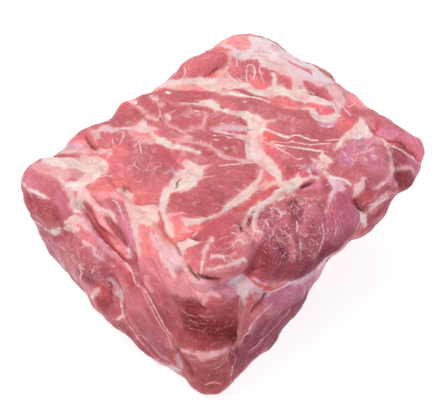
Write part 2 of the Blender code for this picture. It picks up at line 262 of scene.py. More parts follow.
# %% The seams, slots and hollows that sink in: name, path, reach, depth
GROOVES = (
    ("slot, left edge", (top(-98, 30), top(-103, 18), left(4, 97), left(-10, 95), left(-28, 92)), 6, 5.0),
    ("channel beside the slot", (top(-97, 4), top(-102, -8), left(-20, 97)), 6, 3.6),
    ("seam down the left side", (left(-10, 90), left(-29, 87), left(-42, 75), left(-60, 52)), 6, 4.0),
    ("second seam down the left side", (left(-40, 98), left(-50, 84), left(-58, 70), left(-66, 56)), 6, 3.1),
    ("seam low on the left side", (left(-8, 76), left(-18, 60), left(-23, 42), left(-46, 16)), 6, 4.0),
    ("notch over the knob", (left(14, 50), left(2, 53), left(-8, 52)), 6, 3.6),
    ("seam at the left corner", (left(74, 64), left(56, 60), left(40, 68), left(30, 76)), 6, 2.5),
    ("hollow in the front corner", (left(-74, 72), near(-106, 70), near(-88, 66)), 14, 4.5),
    ("groove over the near foot", (left(-62, 36), left(-64, 22)), 6, 3.0),
    ("seam on the near side", (near(-71, 84), near(-72, 62), near(-77, 40), near(-80, 24)), 6, 3.6),
    ("gap under the flap", (top(-102, -64), left(-82, 95), near(-98, 93), near(-74, 89)), 6, 5.5),
    ("gap beside the flap", (top(-48, -66), top(-54, -78), near(-62, 94), near(-68, 88)), 6.5, 4.5),
    ("gap under the rough muscle", (near(-62, 76), near(-46, 64), near(-14, 59), near(12, 50)), 6, 4.5),
    ("crease across the rough muscle", (top(-16, -80), near(-22, 92), near(-20, 76)), 6, 2.0),
    ("second crease across it", (top(4, -80), near(0, 90), near(-2, 74)), 6, 2.0),
    ("slit under the knuckle", (near(28, 96), near(34, 85), near(46, 79), near(58, 78)), 6, 4.5),
    ("groove round the eye", (top(70, -50), top(76, -64), top(71, -78), near(66, 94), near(54, 88)), 6, 3.0),
    ("hollow under the right end", (near(74, 88), near(78, 80)), 7, 4.0),
    ("groove along the right end lobe", (top(88, -40), top(84, -52), top(88, -68), top(95, -86)), 6, 4.5),
    ("main seam", (top(32, 20), top(24, 4), top(12, -7), top(8, -20), top(5, -36)), 6, 2.5),
    ("seam in front of the strip", (top(16, -58), top(-8, -54), top(-30, -58), top(-48, -62)), 6, 3.6),
    ("seam behind the strip", (top(-2, -40), top(-28, -42), top(-56, -42), top(-76, -40)), 6, 2.0),
    ("seam round the round muscle", (top(-64, 44), top(-69, 33), top(-71, 14), top(-70, 2)), 6, 3.0),
    ("patch below the round muscle", (top(-60, -6), top(-44, 0), top(-31, 9), top(-24, 20)), 6, 2.0),
    ("fat band across the top", (top(-46, 52), top(-24, 38), top(-6, 18), top(6, -12)), 6, 2.0),
    ("fat band at the back", (top(18, 70), top(36, 52), top(60, 26), top(82, -2), top(84, -30)), 6, 1.8),
    ("crease under the lean lobe", (top(36, 64), top(48, 61), top(62, 60)), 6, 3.1),
    ("notch on the far edge", (top(-76, 86), top(-70, 72), top(-64, 56)), 6, 2.5),
    ("crease on the far edge", (top(-49, 86), top(-56, 70), top(-59, 58)), 6, 2.5),
    ("crease beside the peach lobe", (top(-76, -10), top(-80, -28), top(-88, -44), top(-96, -58)), 6, 2.5),
    ("seam along the far side", (far(-92, 44), far(-30, 50), far(40, 46), far(94, 52)), 7, 3.5),
    ("upright seam on the far side", (far(8, 96), far(2, 70), far(10, 44)), 6, 2.5),
    ("seam along the right side", (right(80, 48), right(20, 54), right(-50, 56)), 7, 3.5),
    ("upright seam on the right side", (right(8, 92), right(0, 70), right(10, 52)), 6, 2.5),
    ("seam across the underside", (under(-60, 70), under(-40, 10), under(-56, -70)), 8, 3.0),
    ("second seam across the underside", (under(50, 80), under(30, 10), under(52, -60)), 8, 3.0),
)
print("grooves:", len(GROOVES))

# %% [markdown]
# A row holds only a few places. A smooth curve joins them, and the curve is carried onto the body by
# the same bending that made the body. Every point of the skin then asks how far away it runs, and
# only the points in a box around the curve have to ask.

# %% Carry a path onto the body, and measure how far points are from it
def smooth_path(places, steps=6):
    """A smooth curve through the places: each span is a cubic steered by its neighbours."""
    p = np.array(places, dtype=float)
    p = np.vstack([2 * p[0] - p[1], p, 2 * p[-1] - p[-2]])
    t = np.arange(steps)[None, :, None] / steps
    a, b, c, d = (p[i : len(p) - 3 + i, None] for i in range(4))
    spans = b + t * (c - a + t * (2 * a - 5 * b + 4 * c - d + t * (3 * (b - c) + d - a))) / 2
    return np.vstack([spans.reshape(-1, p.shape[1]), p[-2]])


def on_body(places, steps=6):
    """Lay a path drawn on the blank's faces onto the plain body."""
    cube = smooth_path(places, steps) / HALF - np.array([0.0, 0.0, 1.0])
    return body(cube / np.abs(cube).max(axis=1, keepdims=True))


def close_to(path, points, margin):
    """The numbers of the points inside the path's box with a margin around it."""
    low, high = path.min(axis=0) - margin, path.max(axis=0) + margin
    return np.flatnonzero(((points > low) & (points < high)).all(axis=1))


def distance_to(path, points):
    """Shortest distance from each point to the path's straight pieces."""
    shortest = np.full(len(points), np.inf)
    for start, end in zip(path[:-1], path[1:]):
        span = end - start
        along = np.clip((points - start) @ span / (span @ span), 0.0, 1.0)
        away = np.linalg.norm(points - start - along[:, None] * span, axis=1)
        shortest = np.minimum(shortest, away)
    return shortest


def heap_up(points, places, reach, height, power):
    """Height times exp(-(distance / reach) to the power) along one path, for every point."""
    path = on_body(places)
    who = close_to(path, points, 3 * reach)
    out = np.zeros(len(points))
    out[who] = height * np.exp(-((distance_to(path, points[who]) / reach) ** power))
    return out


# %% [markdown]
# Slow waves in fixed random directions keep the faces between the muscles from looking machined.
# A wave is cheap, never repeats in step with the others, and is the same in every run because its
# draws are seeded.

# %% The relief, and the form with it
WAVES, WAVE_HEIGHT, WAVE_LENGTHS, WAVE_SEED = 9, 0.5, (26.0, 60.0), 7
SKIN_SINKS = 1.2
CROWN_POWER, GROOVE_POWER = 3, 2
# Grooves with a reach under this are cut finer in the fine skin
SOFT_REACH = 8.0
NARROWER, DEEPER = 0.62, 1.15


def waves(points, count, height, lengths, seed):
    """A sum of sines: each has its own heading, length and start."""
    draw = np.random.default_rng(seed)
    out = np.zeros(len(points))
    for _ in range(count):
        heading = draw.normal(size=3)
        heading *= 2 * np.pi / draw.uniform(*lengths) / np.linalg.norm(heading)
        out += height * np.sin(points @ heading + draw.uniform(0, 2 * np.pi))
    return out


def relief(points, fine):
    """How far each point stands out from the body. A fine skin has narrower, deeper grooves."""
    out = waves(points, WAVES, WAVE_HEIGHT, WAVE_LENGTHS, WAVE_SEED) - SKIN_SINKS
    for _, path, reach, height in MUSCLES:
        out += heap_up(points, path, reach, height, CROWN_POWER)
    for _, path, reach, depth in GROOVES:
        narrower, deeper = (NARROWER, DEEPER) if fine and reach < SOFT_REACH else (1, 1)
        out -= heap_up(points, path, reach * narrower, depth * deeper, GROOVE_POWER)
    return out


def roast_form(cells, fine):
    """The form in millimetres, before it is centred, and its squares."""
    places, squares = blank_lattice(cells)
    points = body(places)
    points = points + relief(points, fine)[:, None] * outward_normals(points, squares)
    return points, squares


solid_points, _ = roast_form(SOLID_CELLS, fine=False)
solid_low, solid_high = solid_points.min(axis=0), solid_points.max(axis=0)
CENTRE = np.array([*((solid_low + solid_high) / 2)[:2], 0.0])
skin, squares = roast_form(SKIN_CELLS, fine=True)
skin = skin - CENTRE
solid_length = (np.array(solid_box[1]) - np.array(solid_box[0])) / METRES
print("solid as worked out here, mm:", (solid_high - solid_low)[:2].round(2))
print("solid as packed, mm:", solid_length.round(2))
print("skin points:", len(skin), "size in mm:", np.ptp(skin, axis=0).round(1))

# %% [markdown]
# ## The camera
# The photograph looks down on the near left corner. The camera comes before the seams, because the
# seams on the sides it sees are drawn as places in the picture, and then dropped along the line of
# sight onto the skin. Each seam so becomes a path on the meat, which looks right from any side.

# %% The camera
AZIMUTH, ELEVATION, DISTANCE = np.radians(-42.0), np.radians(44.0), 990.0
FOCAL = 1434.0
PICTURE = (447, 400)
AIM_PIXEL = np.array([222.5, 214.0])
SENSOR = 36.0
AIM_HEIGHT = 45.0
aim = np.array([0.0, 0.0, AIM_HEIGHT]) - CENTRE
back = np.array([
    np.sin(AZIMUTH) * np.cos(ELEVATION),
    -np.cos(AZIMUTH) * np.cos(ELEVATION),
    np.sin(ELEVATION),
])
across = np.array([np.cos(AZIMUTH), np.sin(AZIMUTH), 0.0])
upward = np.cross(back, across)
eye = aim + DISTANCE * back

camera_data = bpy.data.cameras.new("camera")
camera_data.sensor_width = SENSOR
camera_data.lens = FOCAL * SENSOR / PICTURE[0]
camera_data.shift_x = (PICTURE[0] / 2 - AIM_PIXEL[0]) / PICTURE[0]
camera_data.shift_y = (AIM_PIXEL[1] - PICTURE[1] / 2) / PICTURE[0]
camera = bpy.data.objects.new("camera", camera_data)
bpy.context.scene.collection.objects.link(camera)
turn = Matrix(np.stack([across, upward, back], axis=1).tolist()).to_4x4()
camera.matrix_world = Matrix.Translation(Vector(eye * METRES)) @ turn
bpy.context.scene.camera = camera
print("camera at", (eye * METRES).round(3), "lens", round(camera_data.lens, 1))

# %% [markdown]
# A BVH tree finds where a ray hits the skin without asking every square. The edges of a path are
# dropped too, so a seam on a face that is seen at a slant is as wide as it really has to be there.

# %% Drop a place in the picture onto the skin
PIXEL = DISTANCE / FOCAL
INWARDS = 16
FLAP_CORNER = (202, 262)
skin_tree = BVHTree.FromPolygons(skin.tolist(), squares.tolist())


def drop(x, y):
    """Where the line of sight through a pixel meets the skin, in millimetres.

    A pixel just outside the outline is moved inwards, one pixel at a time, until it meets the skin."""
    pixel = np.array([x, y], dtype=float)
    inward = (AIM_PIXEL - pixel) / np.linalg.norm(AIM_PIXEL - pixel)
    for step in range(INWARDS):
        u, v = pixel + inward * step - AIM_PIXEL
        line = (across * u - upward * v) / FOCAL - back
        hit = skin_tree.ray_cast(Vector(eye), Vector(line))
        if hit[0] is not None:
            return np.array(hit[0])
    raise ValueError(f"no skin near pixel {x}, {y}")


def lay(places):
    """Lay a path of (x, y, half width) in pixels onto the skin.

    Its half width in millimetres is half the distance between where the two edges land, kept between
    one and two times what it would be on a face that looks at the camera."""
    drawn = smooth_path(places, steps=4)
    heading = np.gradient(drawn[:, :2], axis=0)
    heading /= np.linalg.norm(heading, axis=1, keepdims=True) + 1e-9
    path, half = [], []
    for (x, y, width), (u, v) in zip(drawn, heading):
        path.append(drop(x, y))
        edges = drop(x - v * width, y + u * width) - drop(x + v * width, y - u * width)
        half.append(np.clip(np.linalg.norm(edges) / 2, width * PIXEL, 2 * width * PIXEL))
    return np.array(path), np.array(half)


print("the near corner of the flap is at", drop(*FLAP_CORNER).round(1), "mm")

# %% [markdown]
# ## Seams, sinews and films
# Pork fat is not a thin line everywhere: it swells where muscles part and thins out to a thread. So
# every seam is a path with a half width at each place. A painted texture would be the other way to do
# it, but a path keeps its sharp edge at any distance and can also lift the skin.

# %% Fat seams and patches: name, tone, places in the picture as (x, y, half width)
FAT = (
    ("band across far top", "cream fat", (158, 86, 2.5), (168, 84, 4), (186, 82, 3), (196, 82, 3),
     (212, 83, 6), (220, 82, 5), (228, 84, 5), (236, 88, 3.8), (246, 88, 3), (264, 93, 3), (272, 92, 4.3),
     (281, 92, 4.6), (328, 103, 2.8), (335, 106, 3)),
    ("end of band", "pale fat", (335, 104, 2.8), (338, 109, 2), (338, 115, 1.6)),
    ("column over band", "pale fat", (273.5, 74, 1.2), (274.5, 80, 1.4), (276, 91, 3.6)),
    ("right of stripes", "cream fat", (293, 75, 2), (298, 92, 4)),
    ("left of stripes", "salmon fat", (219, 73, 1.2), (224, 77, 3.2), (239, 85, 2.8)),
    ("cover on back corner", "white fat", (234, 54, 2.5), (243, 55, 4.5), (254, 54, 6), (262, 52, 9),
     (270, 54, 10), (286, 62, 10), (326, 80, 5)),
    ("foot of cover", "pink fat", (264, 64, 2.5), (286, 71, 4), (322, 83, 3.5), (336, 92, 4), (342, 100, 3)),
    ("seam on back tip", "pale fat", (221, 45, 0.9), (228, 46.3, 1.3), (238, 52, 1.8)),
    ("main seam", "cream fat", (244, 115, 3.5), (251, 119, 5.5), (256, 124, 8), (258, 129, 7.2),
     (254, 134, 6.2), (252, 140, 6.5), (251, 146, 7), (253, 152, 8), (258, 159, 7), (272, 170, 5.2),
     (277, 175, 3.5), (280, 181, 1.8)),
    ("main seam's left arm", "rosy fat", (218, 131, 0.8), (249, 138.5, 2.5)),
    ("seam into main seam", "cream fat", (172, 103.5, 0.6), (190, 103.3, 1.1), (197, 102.5, 2),
     (212, 104, 3.4), (222, 110.5, 1.7), (244, 115, 3.2)),
    ("second seam into it", "rosy fat", (165, 121, 0.7), (168, 125, 1), (172, 127.5, 1), (181, 130, 1.4),
     (192, 138, 1), (204, 143.3, 1), (226, 156, 2.2), (233, 157.3, 2), (246, 160.5, 3.3)),
    ("seam over round muscle", "cream fat", (152, 133, 1.2), (156, 138, 2.2), (161, 142, 3.4),
     (173, 146, 2.7), (199, 152.3, 1.3)),
    ("band beyond it", "salmon fat", (176, 142, 0.9), (182, 141, 2), (189, 141.3, 2.1), (203, 145.5, 0.8)),
    ("patch below round muscle", "cream fat", (186, 162, 3), (192, 169, 7), (189, 176, 8), (183, 184, 5.5),
     (175, 188, 3.2), (168, 192, 1.8)),
    ("arm of patch", "warm fat", (197, 169.5, 3), (204, 167, 1.3), (211, 164.7, 0.7)),
    ("seam at round muscle's top", "rosy fat", (130, 131, 1.5), (136, 139, 1.8), (152, 142, 2.6)),
    ("pad on left corner", "cream fat", (49, 160, 3.5), (81, 164, 7.5), (89, 166, 8.5), (96, 168, 6.5),
     (99, 171, 4)),
    ("front of pad", "rosy fat", (34, 166, 3), (44, 168, 5), (56, 173, 5.5), (66, 174, 5)),
    ("spot in pad", "rose spot", (73, 173, 3), (78, 174, 4), (81, 176, 3)),
    ("column below pad", "pale fat", (64, 184, 2), (77, 186, 5), (81, 190, 4.2), (80, 206, 2.6),
     (80, 213, 1.8)),
    ("white at left corner", "lilac fat", (60, 179, 1.3), (63, 182, 2), (67, 184, 2)),
    ("film over left edge", "pink fat", (62, 152, 1.5), (97, 152, 2)),
    ("white triangle", "pink fat", (142, 119, 1.2), (143, 122, 2.6), (143, 126, 4.6), (142, 129, 4.6),
     (155, 129, 1)),
    ("band along left lobes", "pink fat", (100, 129, 1.5), (106, 127, 2.4), (112, 128.5, 1.7),
     (120, 128.3, 1.3), (136, 128.8, 2)),
    ("patch at left lobes", "grey fat", (91.5, 131.5, 1.3), (95, 133, 2.8), (97.5, 136.5, 2.5)),
    ("curdy line", "pink fat", (99, 151.5, 2.6), (110, 150.5, 1.6), (109.5, 154.5, 1.5), (107.7, 158, 0.9)),
    ("cream spot", "cream fat", (164, 116, 0.9), (167, 115.5, 1.8), (169, 118, 1.7), (168.5, 121, 1)),
    ("upper left network", "peach light", (136, 106, 0.9), (141, 108, 1.3), (147, 116, 1.2),
     (151, 118.3, 0.9), (157, 120, 1.1)),
    ("seam in front of round muscle", "cream fat", (167, 190, 3.5), (162, 207, 2.5), (164, 216, 3),
     (170, 231, 4), (172, 236, 2)),
    ("seam behind strip", "cream fat", (187, 224, 2), (192, 222, 3), (199, 221.3, 2.7), (206, 219.2, 1.3),
     (220, 214.3, 1.4), (226, 208.5, 2.2), (237, 201, 4.2), (245, 195.5, 4), (256, 184, 3)),
    ("round short muscle", "pink fat", (262, 171, 2), (260, 178, 2), (256, 184, 2.5)),
    ("seam with holes", "cream fat", (243, 226, 1.3), (246, 220.5, 2.3), (249.5, 214.3, 2.1),
     (255, 209.5, 2.3), (268, 202, 3.2), (281, 193, 4.5), (288, 188, 4.2), (296, 184, 3.8), (301, 181, 2)),
    ("branch of it", "cream fat", (253.5, 229, 0.6), (253.5, 223, 1.1), (255, 217, 2), (258.5, 211.8, 1.9),
     (263, 208, 2.3)),
    ("patch at band's end", "cream fat", (303, 109, 0.9), (309, 109, 1.3), (312, 111, 1.6), (315, 115, 2.6),
     (320, 117.5, 3.1), (326, 118.5, 3.4), (332, 117.5, 3.4), (338, 115, 2.2)),
    ("triangle at right", "cream fat", (361, 118.5, 1.6), (361.5, 129.5, 8), (358, 133, 6), (350, 136, 3.6),
     (343, 140, 2.3), (339, 146, 1.5), (335, 149.5, 1.2)),
    ("rim over eye", "pink fat", (362, 133, 3), (368, 134, 3), (374, 136.5, 1.4), (381, 139, 1.1)),
    ("rim right of eye", "pink fat", (382, 139, 1.2), (384.5, 142, 1.4), (393, 166, 1.7), (392, 171, 1.9),
     (390, 176, 1.8), (386, 181, 1.5), (380, 185.5, 1.2), (374, 188, 1.2), (371, 186.5, 0.8)),
    ("white blob", "cream fat", (322, 157, 3), (328, 161, 3.5)),
    ("patch left of eye", "pink fat", (305, 180, 1.6), (311, 178, 2.5), (317, 178, 1.8)),
    ("pale knot", "rosy fat", (315, 160.5, 1.3), (320, 163, 2.2), (323, 166, 1.3)),
    ("patch right of seam", "cream fat", (283, 184, 2.5), (291, 183, 4.2), (299, 180, 3.2)),
    ("patch below eye", "lilac fat", (331, 181, 1.8), (340, 187, 3.4), (344, 188, 1.8)),
    ("under eye", "pale fat", (324.5, 171, 1), (327, 175.5, 1.5), (332, 178.6, 1.7), (340, 179.3, 1.4),
     (346, 181.5, 1), (351, 185, 0.9)),
    ("fleck at red spot", "lilac fat", (335, 190, 2.8), (329.5, 200, 1.5), (326, 213, 0.8)),
    ("white band at right end", "pink fat", (387, 192, 1.8), (384, 197, 2.2), (372, 208, 2.2)),
    # Painted highlight: a pale streak where light catches the edge of the nub, not fat
    ("white line at nub", "white fat", (358, 211, 1.5), (362, 216, 2.4), (364.5, 221, 2.2), (365, 226, 1.2)),
    ("ridge round corner", "rosy fat", (182.5, 350.5, 1.2), (197, 353.5, 2), (203, 357, 3.2),
     (233, 348.3, 1.3)),
    ("edge at foot", "grey fat", (153, 361, 1.2), (162, 365, 2), (172, 368, 2), (180, 370, 1)),
    ("patch at foot", "lavender", (178, 354, 0.9), (178.5, 361, 1.8), (181, 366.5, 1.8)),
    # Painted highlight: a pale spot where light catches the knob
    ("triangle at knob", "cream fat", (91.5, 298, 1), (95.5, 293, 2.4), (98.5, 290, 1.7)),
    ("patch at knob", "grey fat", (111, 279.5, 0.8), (115, 283, 1.2), (121, 293, 2.2), (123, 297, 1.6)),
    ("patch below knob", "pink fat", (124, 316, 1.3), (118, 318.5, 1.4)),
    ("line at left corner", "white fat", (24, 184, 0.8), (29, 189, 1), (44, 197, 1.7), (49, 199, 0.8)),
    ("second line there", "pale fat", (33, 219, 0.6), (44, 227.3, 0.9), (50, 230.3, 1.1), (56, 231.5, 1.7),
     (60, 228, 1)),
    ("pale triangle under flap", "pale fat", (229.5, 283, 1.2), (234, 281.5, 3), (238, 284, 5.2),
     (242, 291, 4.5), (243, 298, 2)),
    ("beside it", "lilac fat", (250, 284, 4), (258, 288, 4)),
    ("pale greenish gap", "rosy fat", (193, 273, 0.8), (203, 279, 1.2)),
    ("beside column", "grey fat", (72, 196, 2.2), (75, 211, 3.2)),
    ("foot of column", "pink fat", (65, 223, 2), (71, 220, 3.5), (77, 220, 4.2), (83, 223, 3.5),
     (87, 228, 2.5)),
    ("white spot below it", "cream fat", (73, 224, 2), (75, 228, 2)),
    ("spots on left side", "pink fat", (83, 242, 0.6), (90, 245, 1.1), (95, 248, 0.9), (96, 255, 0.8),
     (108, 263, 0.7), (114, 266, 0.4)),
    ("pale flap beside slot", "pink fat", (82, 190, 3), (93, 203, 3.5), (99, 208, 3), (110, 213.5, 2.4),
     (116, 223, 0.7)),
    ("white edge of that flap", "pale fat", (93, 207, 0.7), (101, 213, 1), (108, 216, 0.9), (112, 219, 0.7)),
    ("cream mass at left edge", "warm cream", (135, 209, 4), (149, 214, 7), (155, 218, 4.5)),
    ("its foot", "warm cream", (140, 219, 4), (147, 220, 4.5), (153, 222, 3)),
    ("its arm over edge", "pink fat", (125, 194, 1.8), (132, 205, 3)),
    ("strand down from it", "pink fat", (131, 211, 2.5), (136, 232, 2.5), (139, 256, 1.2)),
    ("peach strand", "peach fat", (153, 222, 2.5), (158, 231, 3.3), (170, 248, 2.3)),
    ("pale band down corner", "pink fat", (151, 233, 1.4), (166, 262, 2.8), (171, 270, 2.7), (174, 276, 1.5)),
    ("cream band down corner", "pink fat", (171, 242, 2), (175, 251, 3.1), (180, 260, 2.8), (186, 273, 0.8)),
    ("patch in front", "cream fat", (179, 246.5, 2.8), (182, 246.5, 4), (188, 243.7, 4), (200, 240.8, 0.9)),
    ("tail of patch", "pink fat", (183, 249, 2.5), (182, 254, 1.4)),
    ("speckled fat by pit", "warm cream", (120, 191, 1.5), (126, 194, 3), (131, 196, 2.5)),
    ("orange edge by strip", "warm fat", (250, 194, 1.5), (258, 189, 2.2), (267, 186, 2.2), (277, 184, 2.2),
     (283, 186, 1.5)),
    ("drip below white blob", "warm fat", (325, 160, 1.2), (326.5, 164, 1.2), (326, 168, 0.8)),
    ("foot of white patch", "white fat", (285, 191, 1.8), (297, 188, 1)),
    ("pale spot on flap's edge", "lilac fat", (255, 231, 1.2), (259.5, 232, 1.9), (263, 233, 1.3)),
    ("mottle on flap", "pink fat", (232, 243, 0.6), (240, 240.5, 1.3), (243, 243, 0.8)),
    ("orange strip under far band", "peach fat", (169, 88.5, 1.3), (180, 87.8, 2.2), (190, 87.3, 2.2),
     (199, 88, 1.3)),
    ("top of back corner", "white fat", (252, 37, 2.5), (255, 42, 3.5), (257, 48, 4)),
    ("warm edge of main seam", "peach light", (257, 133, 2), (260, 137, 2.6), (260, 142, 1.6),
     (262, 149, 1.5), (266, 156, 1.3)),
    ("spur of main seam", "warm fat", (260, 122, 3), (274, 120.5, 0.8)),
    ("spot at left network", "salmon fat", (132, 101, 1.7), (134, 103, 2.1)),
    ("arc at left network", "ridge fat", (151, 96, 1), (154.5, 97.5, 2.1), (156.3, 100.5, 1.9)),
    ("spots on upright", "salmon fat", (161.5, 103, 1.4), (162.5, 105, 1.2)),
    ("loop round oval", "rosy fat", (184, 130, 1.2), (190, 129.7, 1.4), (192.5, 127.8, 1.2),
     (199, 127.3, 1.1), (203, 125.3, 1.3), (205.7, 112.5, 0.7)),
    ("between band and corner", "rosy fat", (330, 92, 1.5), (337, 97, 2.5), (343, 104, 2.5)),
    ("second patch below eye", "pink fat", (364, 179, 1.2), (362, 184, 3.2), (358, 188, 5), (355, 193, 2.5)),
    ("greenish patch at nub", "lean", (371, 209, 1.5), (375, 211, 1.8)),
    ("patch at pocket", "pink", (387, 180, 1.5), (391, 178, 2.5), (394, 182, 2.2)),
    ("spots by long sinew", "salmon fat", (147, 277, 1.3), (148.6, 289.5, 1.3)),
    ("rim of corner's lobe", "rosy fat", (190, 280.5, 0.8), (203, 288, 1.4), (205.5, 293, 1.4),
     (205.5, 299, 1.1), (203, 304, 0.8)),
    ("bit behind rim", "pink fat", (208, 295, 1.3), (212, 292.5, 2), (220, 297, 0.8)),
    ("down near edge", "rose", (241, 301, 1.8), (242, 308, 1), (238.5, 332, 0.9), (238, 342, 0.8)),
    ("white bits under rough muscle", "white fat", (242, 297, 1.5), (245, 302, 1.5)),
    ("white rim by gap", "rosy fat", (181.5, 259, 1), (183.8, 265, 1.6), (187, 275, 0.8)),
    ("under band of lobes", "pink fat", (97, 131, 2), (103, 130, 1.5), (112, 131, 1.3), (118, 130.3, 1)),
    ("pad, curdy end", "cream fat", (92, 158, 2), (97, 158, 2.2), (101, 160, 2)),
    ("pad, round its spot", "cream fat", (96, 170, 5.5), (93, 175, 5), (81, 183, 4)),
    ("film beside patch", "lilac fat", (179.5, 170, 1), (177, 177, 1.8), (168, 190, 1.5)),
    ("stem of patch", "cream fat", (167, 192.5, 1.2), (164.5, 206, 2), (160, 210, 3)),
    ("pale strip along slot", "orchid", (81, 212, 1.8), (85, 219, 2), (107, 249.5, 0.7), (130, 269, 0.8)),
    ("white edge of column", "pale fat", (80, 198, 2.2), (81, 205, 2.8), (81, 212, 2.2)),
    ("white at slot's end", "white fat", (129, 247, 1), (130, 252, 1.6), (130.5, 257, 1)),
    ("foot of column, low", "pink fat", (66, 229, 1.5), (72, 228, 2.5), (79, 229, 2)),
    ("line under rough muscle", "film white", (254, 297.5, 1), (263, 295, 1.8), (285, 285, 1.5),
     (298, 280.5, 1.5), (309, 274.5, 1.5), (334, 254, 0.7)),
    ("cover, outer rim", "white fat", (258, 39, 3), (268, 44, 3.5), (292, 57, 3.5), (314, 72, 3),
     (323, 79, 2.5)),
    ("white patch under rim", "lilac fat", (242, 277, 3), (248, 282.5, 4), (261, 292.3, 1.1)),
    ("column's left shoulder", "rosy fat", (65, 188, 2), (70, 191, 3.5), (72, 197, 3.2)),
    ("lump in orange blob", "pink fat", (184, 219, 2), (188, 220.5, 2.4), (191, 223, 1.5)),
    ("bridge over its hole", "pink fat", (247, 216.3, 0.9), (252, 214.8, 0.7), (256, 215, 0.9)),
    ("left of stripes", "warm fat", (231, 53, 3), (227, 66, 1.4), (222, 73, 2), (216, 79, 2.5)),
    ("left of right lean", "pink fat", (296, 78, 2.6), (300, 83, 3), (303, 90, 2.2), (307, 97, 1.6)),
    ("lower edge of far band", "warm cream", (205, 88, 2), (226, 92, 2.5), (246, 96, 1.2)),
    # Partly painted highlight: the upper part is light catching the flap's edge, the lower part is fat
    ("down flap", "pink fat", (211, 239, 1.2), (207, 246, 1.5), (204, 254, 1.4), (202.5, 262, 1.3)),
    ("mark on flap", "pink fat", (211.5, 259, 0.8), (214, 256.5, 1.4), (221, 257, 1.8), (228, 256.5, 1.3),
     (236, 253, 0.8)),
    ("second mark", "pink fat", (206, 268, 0.7), (214, 268.5, 1.1), (222, 267, 1.1), (230, 265, 1.2),
     (237, 262, 1.2), (243, 259, 1), (247, 261, 0.6)),
    ("second lump there", "peach light", (179, 233, 1.3), (184, 230, 2), (190, 231, 1.6)),
)

print("fat seams and patches:", len(FAT))

# %% [markdown]
# Sinews are the thin white threads in and between the muscles. They are finer than the skin's cells,
# so they get a table of their own and are drawn in another way further down.

